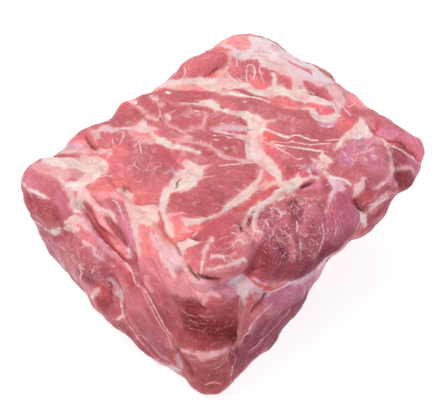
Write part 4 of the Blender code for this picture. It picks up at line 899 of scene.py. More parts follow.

# %% [markdown]
# No two muscles have the same red: it depends on how much a muscle worked, how it was cut and how
# much fat lies under it. Vertex colours painted by hand would do, but they can't be changed in one
# place. So the lean is a patchwork of soft patches, each with its tone and its reach around a short
# path, which is also the way its fibres run. Some patches are painted shade, darker where shade falls
# into the front corner's hollow and beside the flap's edge, and one is a painted highlight on a ridge.

# %% Lean meat: name, tone, reach in mm, places in the picture
LEAN = (
    ("lobe at back", "light lean", 8, (190, 66), (205, 60), (222, 57)),
    ("back tip", "peach light", 7, (222, 42), (246, 43)),
    ("small lobe below it", "coral", 4, (207, 75), (217, 75)),
    ("lean on far edge", "lean", 6, (171, 75), (181, 74)),
    ("salmon on far edge", "salmon", 6, (154, 85), (163, 84)),
    ("striped lean 1", "light lean", 4, (232, 64), (233, 72)),
    ("striped lean 2", "lean", 5, (240, 64), (243, 78)),
    ("striped lean 3", "red", 6, (265, 72), (268, 82)),
    ("striped lean 4", "salmon", 6, (256, 84), (267, 90)),
    ("striped lean 5", "coral", 7, (283, 79), (288, 90)),
    ("striped lean 6", "plum", 7, (304, 92), (322, 88), (342, 93)),
    ("right far edge", "salmon fat", 6, (342, 88), (350, 97), (360, 104)),
    ("right far lean", "lean", 7, (350, 110), (362, 113), (378, 122)),
    ("dark bit", "pink streak", 4, (343, 110), (347, 116)),
    ("under far band", "clay", 7, (172, 95), (215, 95)),
    ("orange under band", "lean", 4, (212, 95), (222, 97)),
    ("lighter streak", "peach", 3, (180, 88), (200, 88)),
    ("dark strip under band", "burgundy", 2.2, (239, 92), (250, 93), (262, 96)),
    ("upper left", "clay", 10, (118, 117), (138, 107), (160, 100)),
    ("long muscle", "lean", 9, (236, 101), (258, 105), (285, 114)),
    ("long muscle, right", "lean", 10, (282, 120), (305, 127), (328, 136)),
    ("oval one", "clay", 9, (178, 112), (190, 119), (202, 116)),
    ("centre", "lean", 10, (206, 120), (222, 117), (240, 106)),
    ("left lobe", "light lean", 6, (106, 136), (108, 142)),
    ("second left lobe", "lean", 3.5, (118, 135), (118, 143)),
    ("salmon flat", "peach", 5, (137, 135), (149, 134)),
    ("round muscle", "lean", 11, (149, 158), (158, 170), (158, 182)),
    ("round muscle, dark", "red", 8, (158, 156), (164, 164)),
    ("round muscle, left", "light lean", 6, (118, 150), (115, 162), (118, 174)),
    ("round muscle, low", "light lean", 7, (133, 190), (150, 196), (162, 192)),
    ("red rim", "light lean", 3, (176, 152), (183, 165), (181, 170)),
    ("oval two", "clay", 10, (212, 143), (228, 148), (243, 150)),
    ("streak over it", "burgundy", 3, (220, 135), (238, 136)),
    ("short muscle", "clay", 8, (226, 174), (243, 173), (256, 176)),
    ("right of seam", "coral", 7, (265, 145), (276, 168)),
    ("broad muscle", "burgundy", 9, (280, 158), (302, 172)),
    ("seam's end", "orange", 4.5, (263, 182), (268, 176), (273, 182)),
    ("salmon lobe", "coral", 5, (316, 109), (325, 109), (333, 112)),
    ("orange at right", "coral", 6, (340, 122), (350, 122)),
    ("magenta edge", "orchid", 5, (380, 130), (392, 132), (402, 137)),
    ("eye", "dusty pink", 10, (358, 148), (372, 158), (376, 166)),
    ("eye, low", "rose", 6, (360, 172), (368, 178), (376, 180)),
    ("right lobe", "plum", 8, (396, 154), (410, 164)),
    ("right end", "pink", 6, (408, 138), (414, 146), (417, 154)),
    ("dark pocket", "wine", 7, (404, 178), (408, 186)),
    ("knuckle", "red", 8, (360, 200), (382, 203)),
    ("nub", "burgundy", 9, (370, 216), (378, 222)),
    ("front muscle", "clay", 11, (175, 195), (195, 203), (215, 207)),
    ("strip muscle", "red groove", 4.6, (215, 222), (274, 191)),
    ("red spot", "burgundy", 4, (325, 184), (330, 190)),
    ("flap", "red", 10, (212, 250), (222, 246), (232, 246)),
    ("flap, front", "light lean", 6, (190, 252), (197, 262)),
    ("flap, lip", "lean", 5, (214, 272), (236, 270)),
    ("orange blob", "orange", 6.5, (178, 222), (180, 232), (190, 228)),
    ("corner, top", "pink fat", 6, (184, 287), (193, 286), (199, 291)),
    # Painted shade: the hollow of the front corner is darker where shade falls into it
    ("hollow", "hollow red", 14, (185, 325), (205, 335), (222, 322)),
    ("hollow, dark", "deep", 6, (186, 318), (194, 326)),
    ("hollow, dark right", "blood", 9, (217, 333), (230, 334)),
    ("foot", "foot clay", 15, (190, 372), (210, 382), (230, 370)),
    ("near side, low", "shadow plum", 16, (255, 345), (285, 318), (325, 285)),
    ("near side, middle", "mauve", 8, (278, 302), (300, 291), (322, 277)),
    ("rough muscle", "plum", 13, (262, 250), (280, 252), (300, 240)),
    ("rough muscle, top", "rose", 11, (270, 222), (315, 200)),
    ("rough muscle, right", "dusky pink", 11, (335, 212), (345, 222), (342, 238)),
    ("rough muscle, low right", "maroon", 9, (322, 258), (338, 246), (352, 232)),
    # Painted shade: the darkest part, beside the flap's edge, where shade falls
    ("darkest part", "pocket red", 5, (262, 252), (268, 262)),
    ("dark red", "maroon", 5, (294, 204), (297, 218)),
    # Painted highlight: a lighter strip where light catches the ridge in the rough muscle
    ("salmon ridge", "light lean", 2.3, (292, 240), (293, 256)),
    ("dark lean on left", "burgundy", 11, (36, 202), (60, 222)),
    ("knob", "brick", 6, (104, 300), (108, 305)),
    ("low and long", "rose", 12, (122, 322), (160, 358)),
    ("slanting muscle", "rose", 9, (145, 280), (158, 300), (168, 322)),
    ("peach lobe", "light clay", 7, (92, 188), (105, 184), (122, 186)),
    ("salmon strand by slot", "salmon fat", 2, (94, 213), (112, 238), (129, 255)),
    ("red strip over channel", "dusty pink", 2.2, (97, 197), (107, 209)),
    ("purple beside channel", "lean", 3, (110, 200), (116, 210), (125, 234)),
    ("peach muscle", "salmon", 3.8, (144, 226), (149, 256)),
    ("muscle below it", "rose spot", 6, (148, 262), (162, 284)),
    ("dark line left of it", "rose", 2.5, (133, 260), (142, 284)),
    ("orange spot by pad", "hot red", 2.6, (104, 163), (107, 167)),
    ("orange round it", "orange", 5, (107, 158), (109, 166)),
    ("orange under round muscle", "red groove", 2.5, (138, 196), (139, 203)),
    ("round muscle's foot", "light lean", 5, (146, 198), (156, 200)),
    ("left corner", "dusty pink", 7, (26, 176), (31, 182), (42, 188)),
    ("dark stripe at left corner", "lean", 2.5, (34, 172), (40, 182), (50, 194)),
    ("left side, upper", "dusty pink", 6, (84, 230), (96, 240), (98, 250)),
    ("left side, middle", "rose", 9, (66, 246), (88, 262)),
    ("left side, outer", "mauve", 9, (46, 238), (72, 280)),
    ("left side, low", "plum", 8, (84, 274), (96, 276), (104, 284)),
    ("shadow under second line", "burgundy", 3, (54, 236), (66, 237), (72, 233)),
    ("pillar of corner, top", "rose spot", 5, (166, 276), (176, 284), (186, 290)),
    ("pillar of corner", "rose", 7, (166, 292), (172, 306), (176, 322)),
    ("pink strip in shade", "burgundy", 2.5, (250, 272), (263, 282)),
    ("salmon triangle", "lean", 2.5, (284, 198), (289, 199)),
    ("broad muscle, upper", "light lean", 7, (272, 152), (286, 156), (300, 163)),
    ("broad muscle, right", "rose", 7, (298, 160), (316, 155)),
    ("red at knot", "pink streak", 4, (298, 176), (303, 172), (305, 177)),
    ("slivers in far band", "coral", 1.3, (219, 84), (226, 84)),
    ("second sliver", "pink streak", 1.3, (229, 85), (236, 87)),
    ("oval one, right", "lean", 6, (192, 110), (200, 118)),
    ("salmon by main seam", "warm red", 4.5, (266, 134), (262, 145), (266, 156)),
    ("red at seam's spur", "light lean", 3, (268, 125), (272, 128)),
    ("salmon above main seam", "light lean", 4, (222, 104), (234, 108)),
    ("dark triangle of stripes", "red", 3.5, (265, 70), (268, 78)),
    ("salmon foot of stripes", "orange", 4.5, (256, 87), (268, 86)),
    ("right blob of stripes", "rose", 5, (282, 80), (287, 88)),
    ("dark long lean at right", "light lean", 4, (310, 86), (322, 90), (336, 97)),
    ("hot spot at right", "coral", 2.2, (342, 112), (343, 116)),
    ("red at band's end", "pink streak", 4, (324, 110), (331, 112)),
    ("red beside eye", "rose", 3.5, (334, 152), (333, 168)),
    ("eye's lower left", "lean", 6, (336, 172), (352, 176)),
    ("red under right end", "red groove", 3, (390, 141), (400, 144), (408, 149), (416, 158)),
    ("long muscle at far right", "lean", 5, (380, 124), (392, 126), (402, 132)),
    ("brown lobe", "burgundy", 3.5, (369, 188), (373, 192)),
    ("purple by pocket", "rose", 4.5, (384, 188), (392, 191)),
    ("red on knuckle", "rim orange", 3, (362, 198), (367, 199)),
    ("end of nub", "plum", 5, (386, 205), (390, 202)),
    ("rough muscle, far right", "dusky pink", 8, (344, 200), (352, 214), (356, 226)),
    ("knob, bright", "red groove", 4.5, (103, 285), (104, 294)),
    ("behind knob", "rose", 4.5, (114, 292), (115, 312)),
    ("coral by upright", "rose", 3, (126, 302), (127, 314)),
    ("red by strand", "lean", 3, (138, 290), (141, 296)),
    ("under low sinew", "wine", 5, (124, 328), (134, 341), (148, 355)),
    # Painted shade: the hollow rows here are darker where shade falls into the front corner
    ("hollow, upper", "hollow red", 6, (182, 304), (194, 305)),
    ("hollow, its right", "burgundy", 9, (216, 308), (228, 314), (234, 306)),
    ("corner, right of lobe", "lean", 4, (210, 302), (222, 299)),
    ("hollow, foot", "foot clay", 7, (188, 343), (204, 346), (222, 344)),
    ("foot, top", "foot clay", 6, (206, 362), (220, 358)),
    ("foot, right", "dusky", 6, (236, 355), (240, 362)),
    ("near side, upper edge", "orchid", 5, (268, 298), (290, 291), (310, 281), (325, 270)),
    ("right of slit", "orchid", 3.5, (311, 188), (319, 186)),
    ("lavender on eye", "violet", 4, (344, 154), (346, 163)),
    ("lavender under curls", "plum", 4, (266, 214), (274, 215), (282, 213)),
    ("below strip", "red", 6, (205, 234), (224, 222)),
    ("flap, right", "rose spot", 6, (244, 240), (250, 250)),
    ("between crease and patch", "light lean", 4, (88, 135), (95, 147)),
    ("left of crease", "peach light", 4, (80, 142), (86, 148)),
    ("right of second lobe", "lean", 5, (127, 136), (131, 146)),
    ("upper left edge", "pink streak", 4, (123, 105), (128, 103), (135, 97)),
    ("left edge, top", "coral", 3.5, (68, 142), (76, 138), (84, 136)),
    ("dark lobe under rough muscle", "red", 5, (247, 300), (256, 295)),
    ("salmon below column", "salmon", 4, (79, 229), (90, 238)),
    ("muscle left of curds", "red", 6, (74, 244), (86, 256)),
    ("rough muscle, foot", "wine", 7, (272, 266), (288, 270), (304, 262)),
    ("rough muscle, lower edge", "dark plum", 5, (300, 272), (314, 266), (326, 256)),
    ("long and low, dark", "plum", 6, (138, 322), (150, 338), (162, 350)),
    ("below strip of fat, dark", "red", 6, (128, 308), (136, 322)),
    ("under peach lobe", "salmon fat", 3, (99, 196), (110, 195), (122, 197)),
    ("orange above cream mass", "light clay", 4, (138, 197), (146, 202)),
    ("flap, upper right", "rose spot", 4, (249, 227), (256, 237)),
    ("rough muscle, dark middle", "maroon", 3.5, (282, 248), (284, 257)),
    ("top of eye", "orchid", 3, (358, 140), (374, 143)),
    ("right of dark lean", "dusty pink", 4, (57, 198), (62, 202), (64, 210)),
    ("round muscle, upper left", "peach", 4, (118, 147), (122, 153)),
    # Painted shade in the hollow, by its rim
    ("hollow, by rim", "slot red", 3, (204, 307), (209, 306), (214, 308)),
    ("tip of right lobe", "dusty pink", 4, (413, 163), (416, 168)),
    ("long muscle, upper right", "salmon", 4, (272, 102), (290, 107)),
    ("ridge in rough muscle", "dusty pink", 3, (314, 206), (306, 218), (299, 232)),
    ("near edge", "rose", 3.5, (240, 303), (241, 320), (238, 345)),
    ("spot on far right", "rosy fat", 3, (368, 122), (373, 127)),
    # Painted shade at the left of the hollow
    ("left of hollow", "burgundy", 4, (178, 300), (184, 330)),
    ("pink at slit's end", "rose spot", 3, (226, 280), (231, 279)),
    ("beside long sinew", "red", 4, (114, 262), (126, 268), (134, 281)),
    ("under slanting muscle", "red", 4, (152, 284), (160, 296)),
)

print("patches of lean:", len(LEAN))

# %% Where the lean is threaded with white: name, how much, reach in mm, places in the picture
TANGLES = (
    ("rough muscle", 1, 13, (262, 228), (285, 218), (312, 205), (330, 222), (300, 245), (275, 250)),
    ("pale knot", 0.7, 6, (302, 168), (318, 168)),
    ("eye", 0.6, 9, (352, 152), (372, 166)),
    ("round muscle", 0.5, 11, (142, 160), (160, 182)),
    ("left side", 0.6, 15, (66, 235), (95, 262), (108, 290)),
    ("dark lean on left", 0.6, 9, (36, 202), (55, 222)),
    ("long and low", 0.45, 11, (122, 322), (158, 358)),
    ("flap", 0.9, 7, (236, 240), (225, 255), (240, 262)),
    ("near side", 0.7, 7, (272, 305), (300, 291), (322, 277)),
    ("near side, low", 0.35, 12, (262, 345), (300, 318)),
    ("strips over corner", 0.4, 8, (140, 225), (152, 262), (165, 290)),
    ("corner", 0.3, 14, (190, 310), (215, 330), (210, 375)),
    ("mottle of flap", 1.2, 5, (238, 243), (248, 238), (254, 232)),
)
BASE_TANGLE = 0.22
print("threaded places:", len(TANGLES))

# %% [markdown]
# ## The sides the photograph does not show
# A shoulder has its fat cap on one side, and there the lean only shows through in windows. The right
# side has that cap. The far side and the underside are cut faces like the others, so they get muscles,
# seams and sinews in the same tones. These paths are drawn on the blank's faces.

# %% Seams and lean on the hidden sides: name, tone, half width in mm, places on the blank
HIDDEN_FAT = (
    ("cap, upper", "white fat", 13, right(82, 76), right(48, 80), right(14, 76), right(-14, 70)),
    ("cap, lower", "pink fat", 10, right(78, 54), right(44, 58), right(6, 56), right(-30, 58)),
    ("cap round the far corner", "white fat", 9, far(98, 84), far(84, 78), far(70, 82)),
    ("cap's tongue", "rosy fat", 5, right(40, 44), right(30, 30), right(34, 18)),
    ("cap's second tongue", "cream fat", 4, right(-6, 50), right(-16, 40), right(-14, 28)),
    ("cap's rim", "cream fat", 3, right(-34, 62), right(-46, 58), right(-58, 62), right(-70, 58)),
    ("long seam on the right side", "cream fat", 2.4, right(80, 44), right(50, 38), right(20, 42),
     right(-30, 34)),
    ("its branch", "pink fat", 1.4, right(10, 42), right(-4, 26), right(-24, 20)),
    ("low seam on the right side", "pink fat", 1.8, right(78, 22), right(56, 13), right(20, 18),
     right(-20, 12)),
    ("low patch on the right side", "cream fat", 4.5, right(-44, 16), right(-58, 22), right(-70, 18)),
    ("upright on the right side", "cream fat", 1.8, right(-34, 92), right(-42, 78), right(-38, 62)),
    ("cut edge on the right side", "salmon fat", 1.3, right(-84, 66), right(-66, 40), right(-74, 14)),
    ("seam along the far side", "cream fat", 2.6, far(-98, 40), far(-62, 52), far(-24, 46), far(14, 56)),
    ("its end", "pink fat", 3.4, far(14, 56), far(40, 48), far(74, 56), far(98, 50)),
    ("seam from the cap", "white fat", 3.2, far(80, 70), far(58, 62), far(34, 64)),
    ("upright on the far side", "cream fat", 2.0, far(8, 98), far(0, 78), far(-16, 62), far(-24, 46)),
    ("second upright", "pink fat", 1.5, far(-56, 96), far(-62, 74), far(-50, 58)),
    ("third upright", "rosy fat", 1.2, far(-84, 90), far(-78, 70), far(-86, 54)),
    ("patch on the far side", "cream fat", 6, far(38, 84), far(52, 78), far(60, 70)),
    ("knot on the far side", "cream fat", 5, far(-22, 48), far(-16, 40), far(-18, 30)),
    ("its root", "pink fat", 1.7, far(-18, 30), far(-30, 18), far(-58, 14), far(-80, 18)),
    ("low patch on the far side", "pink fat", 5, far(-78, 34), far(-68, 28), far(-60, 30)),
    ("low seam on the far side", "cream fat", 1.7, far(-10, 22), far(24, 14), far(60, 24), far(92, 16)),
    ("loop on the far side", "rosy fat", 1.2, far(46, 44), far(52, 32), far(68, 30), far(80, 40)),
    ("seam across the underside", "cream fat", 2.6, under(-60, 84), under(-40, 40), under(-48, 0),
     under(-58, -80)),
    ("second seam across it", "cream fat", 3.0, under(50, 88), under(30, 30), under(46, -20), under(52, -70)),
    ("seam between them", "pink fat", 2.0, under(-44, 20), under(-10, 10), under(34, 22)),
    ("patch under", "pink fat", 10, under(-6, 40), under(4, 20), under(0, -6)),
    ("patch under, right", "white fat", 9, under(78, 40), under(80, 10), under(70, -20)),
)
HIDDEN_LEAN = (
    ("far side, upper left", "rose", 18, far(-96, 76), far(-70, 80)),
    ("far side, its neighbour", "lean", 16, far(-44, 78), far(-30, 66)),
    ("far side, above the seam", "light lean", 12, far(-10, 84), far(-6, 64)),
    ("far side, upper right", "lean", 18, far(24, 78), far(50, 62), far(88, 66)),
    ("far side, lower left", "burgundy", 16, far(-94, 24), far(-50, 34)),
    ("far side, low middle", "red", 14, far(-34, 30), far(0, 34)),
    ("far side, salmon", "coral", 9, far(4, 40), far(22, 32)),
    ("far side, lower right", "rose", 14, far(34, 28), far(60, 36), far(92, 32)),
    ("far side, foot", "plum", 12, far(-60, 8), far(0, 6), far(70, 8)),
    ("right side, under the cap", "red", 18, right(80, 70), right(30, 72), right(-20, 66)),
    ("right side, windows", "coral", 9, right(60, 48), right(24, 50), right(-8, 40)),
    ("right side, near", "mauve", 15, right(-44, 78), right(-60, 70), right(-80, 60)),
    ("right side, middle", "burgundy", 14, right(-30, 44), right(-56, 38)),
    ("right side, low", "rose", 15, right(74, 30), right(46, 26), right(8, 30)),
    ("right side, foot", "plum", 12, right(60, 8), right(0, 8), right(-60, 8)),
    ("underside, left", "rose", 30, under(-90, 50), under(-86, 0), under(-88, -60)),
    ("underside, middle", "dusky", 34, under(-10, 60), under(-6, 0), under(-6, -60)),
    ("underside, right", "burgundy", 30, under(84, 60), under(86, 0), under(70, -40)),
)
print("hidden sides:", len(HIDDEN_FAT), "seams and patches,", len(HIDDEN_LEAN), "patches of lean")

# %% [markdown]
# A few dozen thin sinews, seeded, wander over the hidden faces, so that they are as finely finished
# as the rest. Each starts anywhere on its face and turns a little at every step.

# %% Wandering sinews on the hidden faces
MID_HEIGHT = HEIGHT / 2
# The face, half its length, half its width, where its middle is, and how many sinews it gets
WANDERERS = (
    (far, 104, MID_HEIGHT - 6, MID_HEIGHT, 24),
    (right, 84, MID_HEIGHT - 6, MID_HEIGHT, 18),
    (under, 96, 80, 0, 14),
)
WANDER_SEED, WANDER_STEPS, WANDER_STEP = 31, (3, 7), 9.0
WANDER_SPREAD, WANDER_TURN, WANDER_HALF_WIDTHS = 0.5, 0.35, (0.35, 0.8)
WANDER_TONES = ("pink fat", "rosy fat", "pale fat")


def wander():
    """Paths on the blank: a start, a heading, then steps whose heading turns by a small random angle."""
    draw = np.random.default_rng(WANDER_SEED)
    found = []
    for face, half_length, half_width, middle, count in WANDERERS:
        for number in range(count):
            spot = np.array([draw.uniform(-half_length, half_length), draw.uniform(-half_width, half_width)])
            heading = draw.choice([0.0, np.pi]) + draw.normal(0, WANDER_SPREAD)
            places = []
            for _ in range(draw.integers(*WANDER_STEPS)):
                places.append(face(spot[0], middle + np.clip(spot[1], -half_width, half_width)))
                spot = spot + WANDER_STEP * np.array([np.cos(heading), np.sin(heading)])
                spot[0] = np.clip(spot[0], -half_length, half_length)
                heading += draw.normal(0, WANDER_TURN)
            tone = WANDER_TONES[number % len(WANDER_TONES)]
            found.append((f"wandering {number}", tone, draw.uniform(*WANDER_HALF_WIDTHS), *places))
    return found


wandering = wander()
print("wandering sinews:", len(wandering))

# %% [markdown]
# ## Fine relief
# Fat stands a little proud of the cut lean, films are smooth, creases bite in, and the cut face has
# small lumps. These are moves along the normals of the finer skin. What is smaller than the skin's
# cells, such as fibres, comes later as bump.

# %% Lay every path on the skin
def from_picture(rows):
    """Rows drawn in the picture become rows of (name, tone, path in mm, half widths in mm)."""
    return [(name, tone, *lay(places)) for name, tone, *places in rows]


def from_blank(rows):
    """The same for rows drawn on the blank: half times 0.6, plus 0.4 of a half sine wave along it."""
    laid = []
    for name, tone, half, *places in rows:
        path = on_body(places) - CENTRE
        taper = 0.6 + 0.4 * np.sin(np.linspace(0.15, 0.85, len(path)) * np.pi)
        laid.append((name, tone, path, half * taper))
    return laid


def middle_line(places):
    """The path alone, of places in the picture that have no half width."""
    return lay([(x, y, 1.0) for x, y in places])[0]


fat = from_picture(FAT) + from_blank(HIDDEN_FAT)
sinews = from_picture(SINEWS) + from_blank(wandering)
films = from_picture(FILMS)
creases = from_picture([(name, tone, *places) for name, _, tone, *places in CREASES])
crease_depths = [depth for _, depth, *_ in CREASES]
lean = [(tone, reach, middle_line(places)) for _, tone, reach, *places in LEAN]
lean += [(tone, reach, on_body(places) - CENTRE) for _, tone, reach, *places in HIDDEN_LEAN]
print("paths laid:", len(fat), "fat,", len(sinews), "sinews,", len(films), "films,", end=" ")
print(len(creases), "creases,", len(lean), "lean")

# %% [markdown]
# A seam of fat frays: thin threads leave it at a flat angle and run out between the fibres. Each
# seam sends one out every few millimetres, to a random side, with a random length and bend.

# %% Sprouts of the fat seams
SPROUT_EVERY, SPROUT_STEP, SPROUT_SEED = 4.5, 2.2, 5
SPROUT_ANGLES, SPROUT_BEND, SPROUT_STEPS = (0.26, 1.05), 0.25, (2, 6)
SPROUT_HALF_WIDTHS, SPROUT_TIP, SPROUT_ROOT = (0.3, 0.6), 0.1, 0.6


def sprouts(rows):
    """Threads that leave the seams: from inside the edge, at an angle, a few steps over the skin."""
    draw = np.random.default_rng(SPROUT_SEED)
    found = []
    for name, tone, path, half in rows:
        along = np.concatenate([[0.0], np.linalg.norm(np.diff(path, axis=0), axis=1).cumsum()])
        for start in np.arange(draw.uniform(0, SPROUT_EVERY), along[-1], SPROUT_EVERY):
            k = min(int(np.searchsorted(along, start, side="right")) - 1, len(path) - 2)
            ahead = path[k + 1] - path[k]
            ahead /= np.linalg.norm(ahead) + 1e-9
            _, facing, _, _ = skin_tree.find_nearest(Vector(path[k]))
            beside = np.cross(facing, ahead) * draw.choice([-1.0, 1.0])
            ahead = ahead * draw.choice([-1.0, 1.0])
            angle, bend = draw.uniform(*SPROUT_ANGLES), draw.normal(0, SPROUT_BEND)
            place = path[k] + beside * half[k] * SPROUT_ROOT
            places = [place]
            for _ in range(draw.integers(*SPROUT_STEPS)):
                place = place + SPROUT_STEP * (np.cos(angle) * ahead + np.sin(angle) * beside)
                place = np.array(skin_tree.find_nearest(Vector(place))[0])
                angle += bend
                places.append(place)
            thin = np.linspace(draw.uniform(*SPROUT_HALF_WIDTHS), SPROUT_TIP, len(places))
            found.append((f"sprout of {name}", tone, np.array(places), thin))
    return found


sinews += sprouts(fat)
print("sinews with the sprouts:", len(sinews))

# %% [markdown]
# Relief and colour both ask the same question: how deep does this point of the skin lie inside the
# path? It is answered once for every path, and kept.

# %% How deep a point lies inside a path
FAR_OFF = -6.0


def depth_inside(path, half):
    """For the skin near a path: how far inside its edge each point is, and where along and across it.

    Inside is the half width at the nearest place minus the distance to it. Side is the distance
    across the path, with a sign that changes over its middle line, and along is the path's length
    up to there."""
    who = close_to(path, skin, half.max() - FAR_OFF)
    p, n = skin[who], normals[who]
    inside = np.full(len(who), -1e3)
    side, along = np.zeros(len(who)), np.zeros(len(who))
    done = 0.0
    for a, b, ha, hb in zip(path[:-1], path[1:], half[:-1], half[1:]):
        span = b - a
        long = np.linalg.norm(span) + 1e-9
        t = np.clip((p - a) @ span / long**2, 0.0, 1.0)
        off = p - a - t[:, None] * span
        gap = ha + (hb - ha) * t - np.linalg.norm(off, axis=1)
        better = gap > inside
        inside[better] = gap[better]
        side[better] = np.einsum("ij,ij->i", np.cross(n[better], span / long), off[better])
        along[better] = done + t[better] * long
        done += long
    return who, inside, side, along


def rise(inside, soft):
    """0 outside, 1 well inside, smooth between: an S-curve over the soft width on both sides."""
    t = np.clip((inside + soft) / (2 * soft), 0.0, 1.0)
    return t * t * (3 - 2 * t)


normals = outward_normals(skin, squares)
fat_reach, sinew_reach, film_reach, crease_reach = (
    [depth_inside(path, half) for _, _, path, half in rows] for rows in (fat, sinews, films, creases)
)
print("points measured for the fat:", sum(len(who) for who, *_ in fat_reach))

# %% [markdown]
# Small lumps come from the same seeded waves as before, only shorter. Fat, sinews and films then rise
# over an S-curve at their edges, and each crease is a narrow valley.

# %% Move the skin
# How many waves, their height, their lengths in mm, and the seed
LUMPS = ((26, 0.055, (5.0, 11.0), 21), (20, 0.09, (11.0, 22.0), 22))
# How far each stands out, and how soft its edge is, in mm
STANDS = ((fat_reach, 0.2, 1.2), (sinew_reach, 0.18, 0.8), (film_reach, 0.1, 1.0))
CREASE_SOFT = 0.6
move = np.zeros(len(skin))
for count, height, lengths, seed in LUMPS:
    move += waves(skin, count, height, lengths, seed)
for reaches, stands, soft in STANDS:
    proud = np.zeros(len(skin))
    for who, inside, _, _ in reaches:
        proud[who] = np.maximum(proud[who], rise(inside, soft))
    move += stands * proud
for deep, (_, _, _, half), (who, inside, _, _) in zip(crease_depths, creases, crease_reach):
    reach = half.mean() + CREASE_SOFT
    away = np.maximum(half.mean() - inside, 0.0)
    move[who] -= deep * np.exp(-((away / reach) ** 2))
skin = skin + move[:, None] * normals
skin[:, 2] = np.maximum(skin[:, 2], 0.0)
normals = outward_normals(skin, squares)
print("fine relief from", move.min().round(2), "to", move.max().round(2), "mm")

# %% [markdown]
# ## The tones
# Every tone is a name with a colour as it looks in soft light, from 0 to 255. Lean goes from salmon
# where it is thin over fat to deep wine where it lies in shade, and fat from white to a warm cream.

# %% The tones by name
TONES = {
    # Lean
    "lean": (200, 118, 123), "light lean": (220, 130, 134), "salmon": (240, 146, 146),
    "peach": (245, 150, 148), "orange": (246, 138, 140), "coral": (232, 126, 130), "red": (196, 98, 107),
    "burgundy": (172, 81, 91), "wine": (150, 68, 79), "brick": (152, 68, 68), "deep": (122, 46, 48),
    "mauve": (180, 107, 127), "dusky": (148, 84, 102), "rose": (190, 106, 118), "pink": (227, 143, 159),
    "plum": (166, 86, 102), "dusty pink": (206, 130, 148), "rose spot": (222, 146, 152),
    "dusky pink": (190, 104, 128), "peach light": (250, 180, 176), "clay": (193, 106, 110),
    "foot clay": (170, 84, 85), "light clay": (224, 132, 128), "warm red": (232, 112, 108),
    "hot red": (222, 84, 80), "shadow plum": (138, 68, 88), "dark plum": (126, 54, 72),
    # Slots, gaps and hollows, mostly painted shade: the dark that shade leaves in them
    "slot red": (182, 70, 78), "hollow red": (138, 44, 44), "pocket red": (140, 44, 56),
    "maroon": (116, 42, 60), "shade": (112, 50, 54), "rim orange": (206, 88, 84),
    "red groove": (206, 98, 102), "blood": (104, 26, 29), "gap": (92, 36, 34), "slit": (140, 62, 66),
    "pink streak": (222, 112, 128), "brown gap": (120, 84, 62),
    # Fat and films
    "cream fat": (249, 222, 216), "pale fat": (250, 226, 222), "warm fat": (252, 204, 192),
    "pink fat": (247, 200, 201), "white fat": (244, 222, 225), "rosy fat": (238, 174, 180),
    "ridge fat": (235, 195, 194), "salmon fat": (243, 165, 165), "grey fat": (222, 192, 196),
    "lavender": (208, 160, 179), "lilac": (209, 172, 203), "violet": (200, 131, 158),
    "film white": (241, 206, 217), "orchid": (220, 150, 176), "lilac fat": (242, 200, 212),
    "warm cream": (250, 216, 202), "peach fat": (246, 170, 158),
}
BASE_LEAN, BASE_FAT, BASE_FILM, BASE_CREASE_SHADE = "lean", "cream fat", "lavender", "gap"
# Lean loses this share of green and blue, because the white sheen over it adds them again
LEAN_BALANCE = np.array([1.0, 0.74, 0.79])


def linear(name):
    """A tone as linear light, as shader nodes take it: ((share + 0.055) / 1.055) to the power 2.4.

    The share is the value over 255. Below 0.04045 it is divided by 12.92 instead."""
    share = np.array(TONES[name]) / 255
    return np.where(share <= 0.04045, share / 12.92, ((share + 0.055) / 1.055) ** 2.4)


print("lean as linear colour:", linear("lean").round(3))

# %% [markdown]
# ## What the skin carries
# The material needs to know, at each point, which tone the lean has, how deep inside a fat seam it
# lies, how far it is from a sinew, and which way the fibres run. Each of these goes into an attribute
# of the mesh. A distance is smooth over the cells, so the nodes can draw an edge through it that is
# much finer than the cells. An image texture could not do that without a lot of memory.

# %% Blend tones, and measure seams
# The weight of the base tone, which wins where no path is near
BASE_WEIGHT = 0.02
# Each path starts this far along its streaks, so that no two have the same
NEXT_STREAKS = 7.0
SEAM_SHARP, SINEW_SHARP = 0.8, 0.6


def blend_tones(rows, reaches, base, sharp):
    """A mean of the tones of all paths, each weighted with exp(how deep inside / sharp).

    Beside it come the depth inside the path in which a point lies deepest, the place along and
    across that path, and its number as the owner of the point, or -1 where no path is near."""
    total = np.full(len(skin), BASE_WEIGHT)
    colour = total[:, None] * linear(base)
    deepest = np.full(len(skin), FAR_OFF)
    run = skin.copy()
    owner = np.full(len(skin), -1)
    for number, ((_, tone, _, _), (who, inside, side, along)) in enumerate(zip(rows, reaches)):
        weight = np.exp(np.clip(inside, FAR_OFF, 3.0) / sharp)
        total[who] += weight
        colour[who] += weight[:, None] * linear(tone)
        mine = inside > deepest[who]
        who = who[mine]
        deepest[who] = inside[mine]
        owner[who] = number
        run[who] = np.stack([along[mine], side[mine], np.full(len(who), NEXT_STREAKS * number)], axis=1)
    return colour / total[:, None], deepest, run, owner


fat_colour, fat_depth, fat_run, fat_owner = blend_tones(fat, fat_reach, BASE_FAT, SEAM_SHARP)
film_colour, film_depth, _, _ = blend_tones(films, film_reach, BASE_FILM, SEAM_SHARP)
# The creases' colours: painted shade, with a few real red and orange streaks
crease_shade_and_streak_colour, crease_depth, _, _ = blend_tones(creases, crease_reach, BASE_CREASE_SHADE, SEAM_SHARP)
sinew_colour, _, _, sinew_owner = blend_tones(sinews, sinew_reach, BASE_FAT, SINEW_SHARP)
print("share of the skin inside fat:", (fat_depth > 0).mean().round(3))

# %% [markdown]
# A thin sinew is see-through and a thick one nearly solid. So each point gets how solid its sinew is:
# an S-curve over the widest half width of its owner. The zero at the end is for points without one,
# whose owner is -1.

